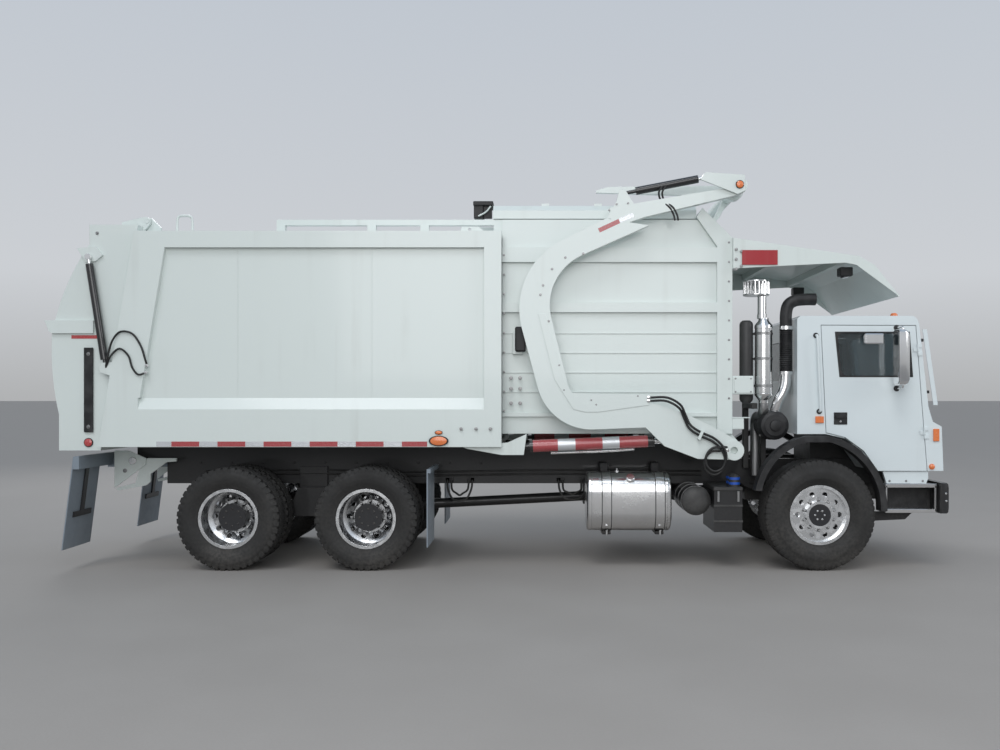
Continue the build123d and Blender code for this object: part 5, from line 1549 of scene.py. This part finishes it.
# %% Hoses under the frame
# The ends' X, the lowest Z and the Y of each loop
hanging_loops = (
    (-0.566, -0.293, 0.640, -0.47), (-0.520, -0.330, 0.700, -0.49),
    (0.647, 0.950, 0.650, -0.47), (0.690, 0.900, 0.710, -0.50),
)
clip_z = 0.86
shape = Shape()
for x_low, x_high, z_low, y in hanging_loops:
    loop = (
        (x_low, y + 0.03, clip_z), (x_low + 0.01, y, 0.76), (x_low + 0.06, y - 0.02, z_low + 0.02),
        ((x_low + x_high) / 2, y - 0.03, z_low),
        (x_high - 0.06, y - 0.02, z_low + 0.02), (x_high - 0.01, y, 0.76), (x_high, y + 0.03, clip_z),
    )
    bent_tube(shape, loop, 0.011, hose_black, 8)
    for x in (x_low, x_high):
        block(shape, (x - 0.02, -0.424, clip_z - 0.02), (x + 0.02, y + 0.045, clip_z + 0.02), black)
for z, y in ((0.955, -0.445), (0.915, -0.448)):
    rail_run = ((-3.2, y, z), (-2.0, y, z + 0.012), (-0.8, y, z - 0.008), (0.6, y, z + 0.010), (2.2, y, z))
    bent_tube(shape, rail_run, 0.009, hose_black, 8, 10)
low_pressure_pipe = ((0.556, -1.02, 1.187), (0.80, -1.02, 1.195), (1.20, -1.02, 1.212), (1.415, -1.02, 1.228))
bent_tube(shape, low_pressure_pipe, 0.016, bright, 12)
finish_piece("rail_lines", "chassis", shape)

# %% [markdown]
# ## Mud flap frames
# Each rear flap hangs on a black T-shaped frame that holds it against the wind.

# %% Mud flap frames
flap_top_x, flap_top_z, flap_slope = -4.2675, 1.160, 0.1263


def on_flap(z, off):
    """The X of the rear flap's front face at a height, and a distance off it."""
    return flap_top_x - (flap_top_z - z) * flap_slope + off


def flap_bar(shape, side, y_low, y_high, z_low, z_high):
    """A flat bar against the rear flap."""
    outline = [
        (on_flap(z_high, -0.001), z_high), (on_flap(z_high, 0.016), z_high),
        (on_flap(z_low, 0.016), z_low), (on_flap(z_low, -0.001), z_low),
    ]
    slab(shape, outline, side * y_low, side * y_high, frame_black)


lock_plate = [(-4.141, 1.187), (-3.988, 1.187), (-3.799, 1.103), (-3.806, 1.033), (-4.141, 0.781)]
lock_frame = [
    (-3.791, 1.103), (-3.476, 1.103), (-3.476, 1.068), (-3.582, 1.061), (-3.756, 0.935), (-3.756, 0.851),
    (-3.806, 0.809), (-4.113, 0.753), (-4.127, 0.781), (-3.917, 0.837), (-3.876, 0.991),
]
lock_pin = [(0, 0), (0, 0.040), (0.020, 0.040), (0.023, 0.036), (0.023, 0)]
shape = Shape()
for side, _ in sides:
    flap_bar(shape, side, 0.620, 1.175, 1.046, 1.107)
    flap_bar(shape, side, 0.860, 0.930, 0.585, 1.047)
    flap_bar(shape, side, 0.700, 1.070, 0.530, 0.586)
    for y in (0.70, 0.90, 1.10):
        bolt(shape, (on_flap(1.076, 0.016), side * y, 1.076), forward, 0.010, dark_steel)
    # Frame that the closed tailgate locks on
    slab(shape, lock_plate, side * 0.560, side * 0.572, white)
    slab(shape, lock_frame, side * 0.530, side * 0.560, white)
    turned(shape, (-3.942, side * 0.565, 1.077), (0, side, 0), lock_pin, bright, 24)
    turned(shape, (-4.025, side * 0.565, 0.970), (0, side, 0), head(0.022, 0.012), dark_steel, 20)
finish_piece("flap_frames", "chassis", shape)

# %% [markdown]
# ## Cab interior
# Seats, dash and wheel are seen through the glass. Each cushion is a crowned pad: a fine box
# whose top swells, whose sides pull in between the corners, and whose sewn channels are
# pressed in along lines. A simulation would add nothing that the glass lets one see.

# %% Seats


def cushion(name, low, high, lean, channels):
    """A crowned pad between two corners, leaning back by a share of its height."""
    shape = Shape()
    count = 14
    low, high = Vector(low), Vector(high)
    middle, half = (low + high) / 2, (high - low) / 2
    thin = min(range(3), key=lambda n: half[n])
    wide = [n for n in range(3) if n != thin]
    for axis in range(3):
        one, two = [n for n in range(3) if n != axis]
        for way in (-1, 1):
            points, faces = [], []
            for row in range(count + 1):
                for column in range(count + 1):
                    unit = [0.0, 0.0, 0.0]
                    unit[axis] = way
                    unit[one] = 2 * row / count - 1
                    unit[two] = 2 * column / count - 1
                    a, b = unit[wide[0]], unit[wide[1]]
                    swell = 1 + 0.35 * (1 - a * a) * (1 - b * b)
                    groove = sum(0.10 * math.exp(-((b - line) / 0.05) ** 2) for line in channels)
                    bulge = math.sqrt(max(0.0, 1 - unit[thin] ** 2))
                    place = [0.0, 0.0, 0.0]
                    place[thin] = unit[thin] * (0.70 * swell - (groove if unit[thin] > 0 else 0))
                    place[wide[0]] = a * (0.93 - 0.03 * (1 - b * b) + 0.05 * bulge)
                    place[wide[1]] = b * (0.93 - 0.03 * (1 - a * a) + 0.05 * bulge)
                    point = [middle[n] + place[n] * half[n] for n in range(3)]
                    point[0] -= lean * (point[2] - low.z)
                    points.append(point)
            for row in range(count):
                for column in range(count):
                    corner = row * (count + 1) + column
                    faces.append((corner, corner + 1, corner + count + 2, corner + count + 1))
            shape.add(points, faces, vinyl)
    pad = finish_piece(name, "chassis", shape, 60)
    welded = bmesh.new()
    welded.from_mesh(pad.data)
    bmesh.ops.remove_doubles(welded, verts=welded.verts, dist=0.0005)
    bmesh.ops.recalc_face_normals(welded, faces=welded.faces)
    welded.to_mesh(pad.data)
    welded.free()


for side, side_name in sides:
    inner, outer = sorted((side * 0.475, side * 0.915))
    cushion(f"seat_cushion_{side_name}", (3.415, inner, 1.470), (3.880, outer, 1.610), 0.0, (-0.4, 0.4))
    cushion(f"seat_back_{side_name}", (3.400, inner, 1.600), (3.520, outer, 2.245), 0.15, (-0.45, 0.0, 0.45))

# %% Dash, wheels and seat bases
dash_outline = rounded([(4.236, 1.430), (4.336, 1.480), (4.306, 1.700), (4.146, 1.640)], 0.035)
gauge_hood = rounded([(4.130, 1.640), (4.260, 1.690), (4.250, 1.740), (4.120, 1.700)], 0.02)
wheel_hub = [(-0.03, 0), (-0.03, 0.045), (0.012, 0.055), (0.020, 0.045), (0.022, 0)]
wheel_tilt = Vector((-0.45, 0, 0.9)).normalized()
wheel_radius = 0.212
_, across_wheel, along_wheel = across(wheel_tilt)
shape = Shape()
slab(shape, dash_outline, -0.985, 0.985, vinyl)
for side, _ in sides:
    seat_y = side * 0.695
    block(shape, (3.440, side * 0.500, 1.436), (3.850, side * 0.890, 1.480), black, 0.010)
    centre = Vector((4.052, seat_y, 1.792))
    rim = circle(centre, across_wheel, along_wheel, wheel_radius, 40)
    tube(shape, [*rim, rim[0]], 0.014, vinyl)
    for spoke_end in circle(Vector(), across_wheel, along_wheel, 1.0, 3):
        tube(shape, [centre + spoke_end * 0.03, centre + spoke_end * 0.21], 0.010, vinyl, 8)
    turned(shape, centre, wheel_tilt, wheel_hub, vinyl, 24)
    tube(shape, [centre, (4.20, seat_y, 1.62)], 0.028, vinyl, 14)
    slab(shape, gauge_hood, seat_y - 0.20, seat_y + 0.20, vinyl)
furniture_piece = finish_piece("cab_furniture", "chassis", shape)
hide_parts("cab_interior")
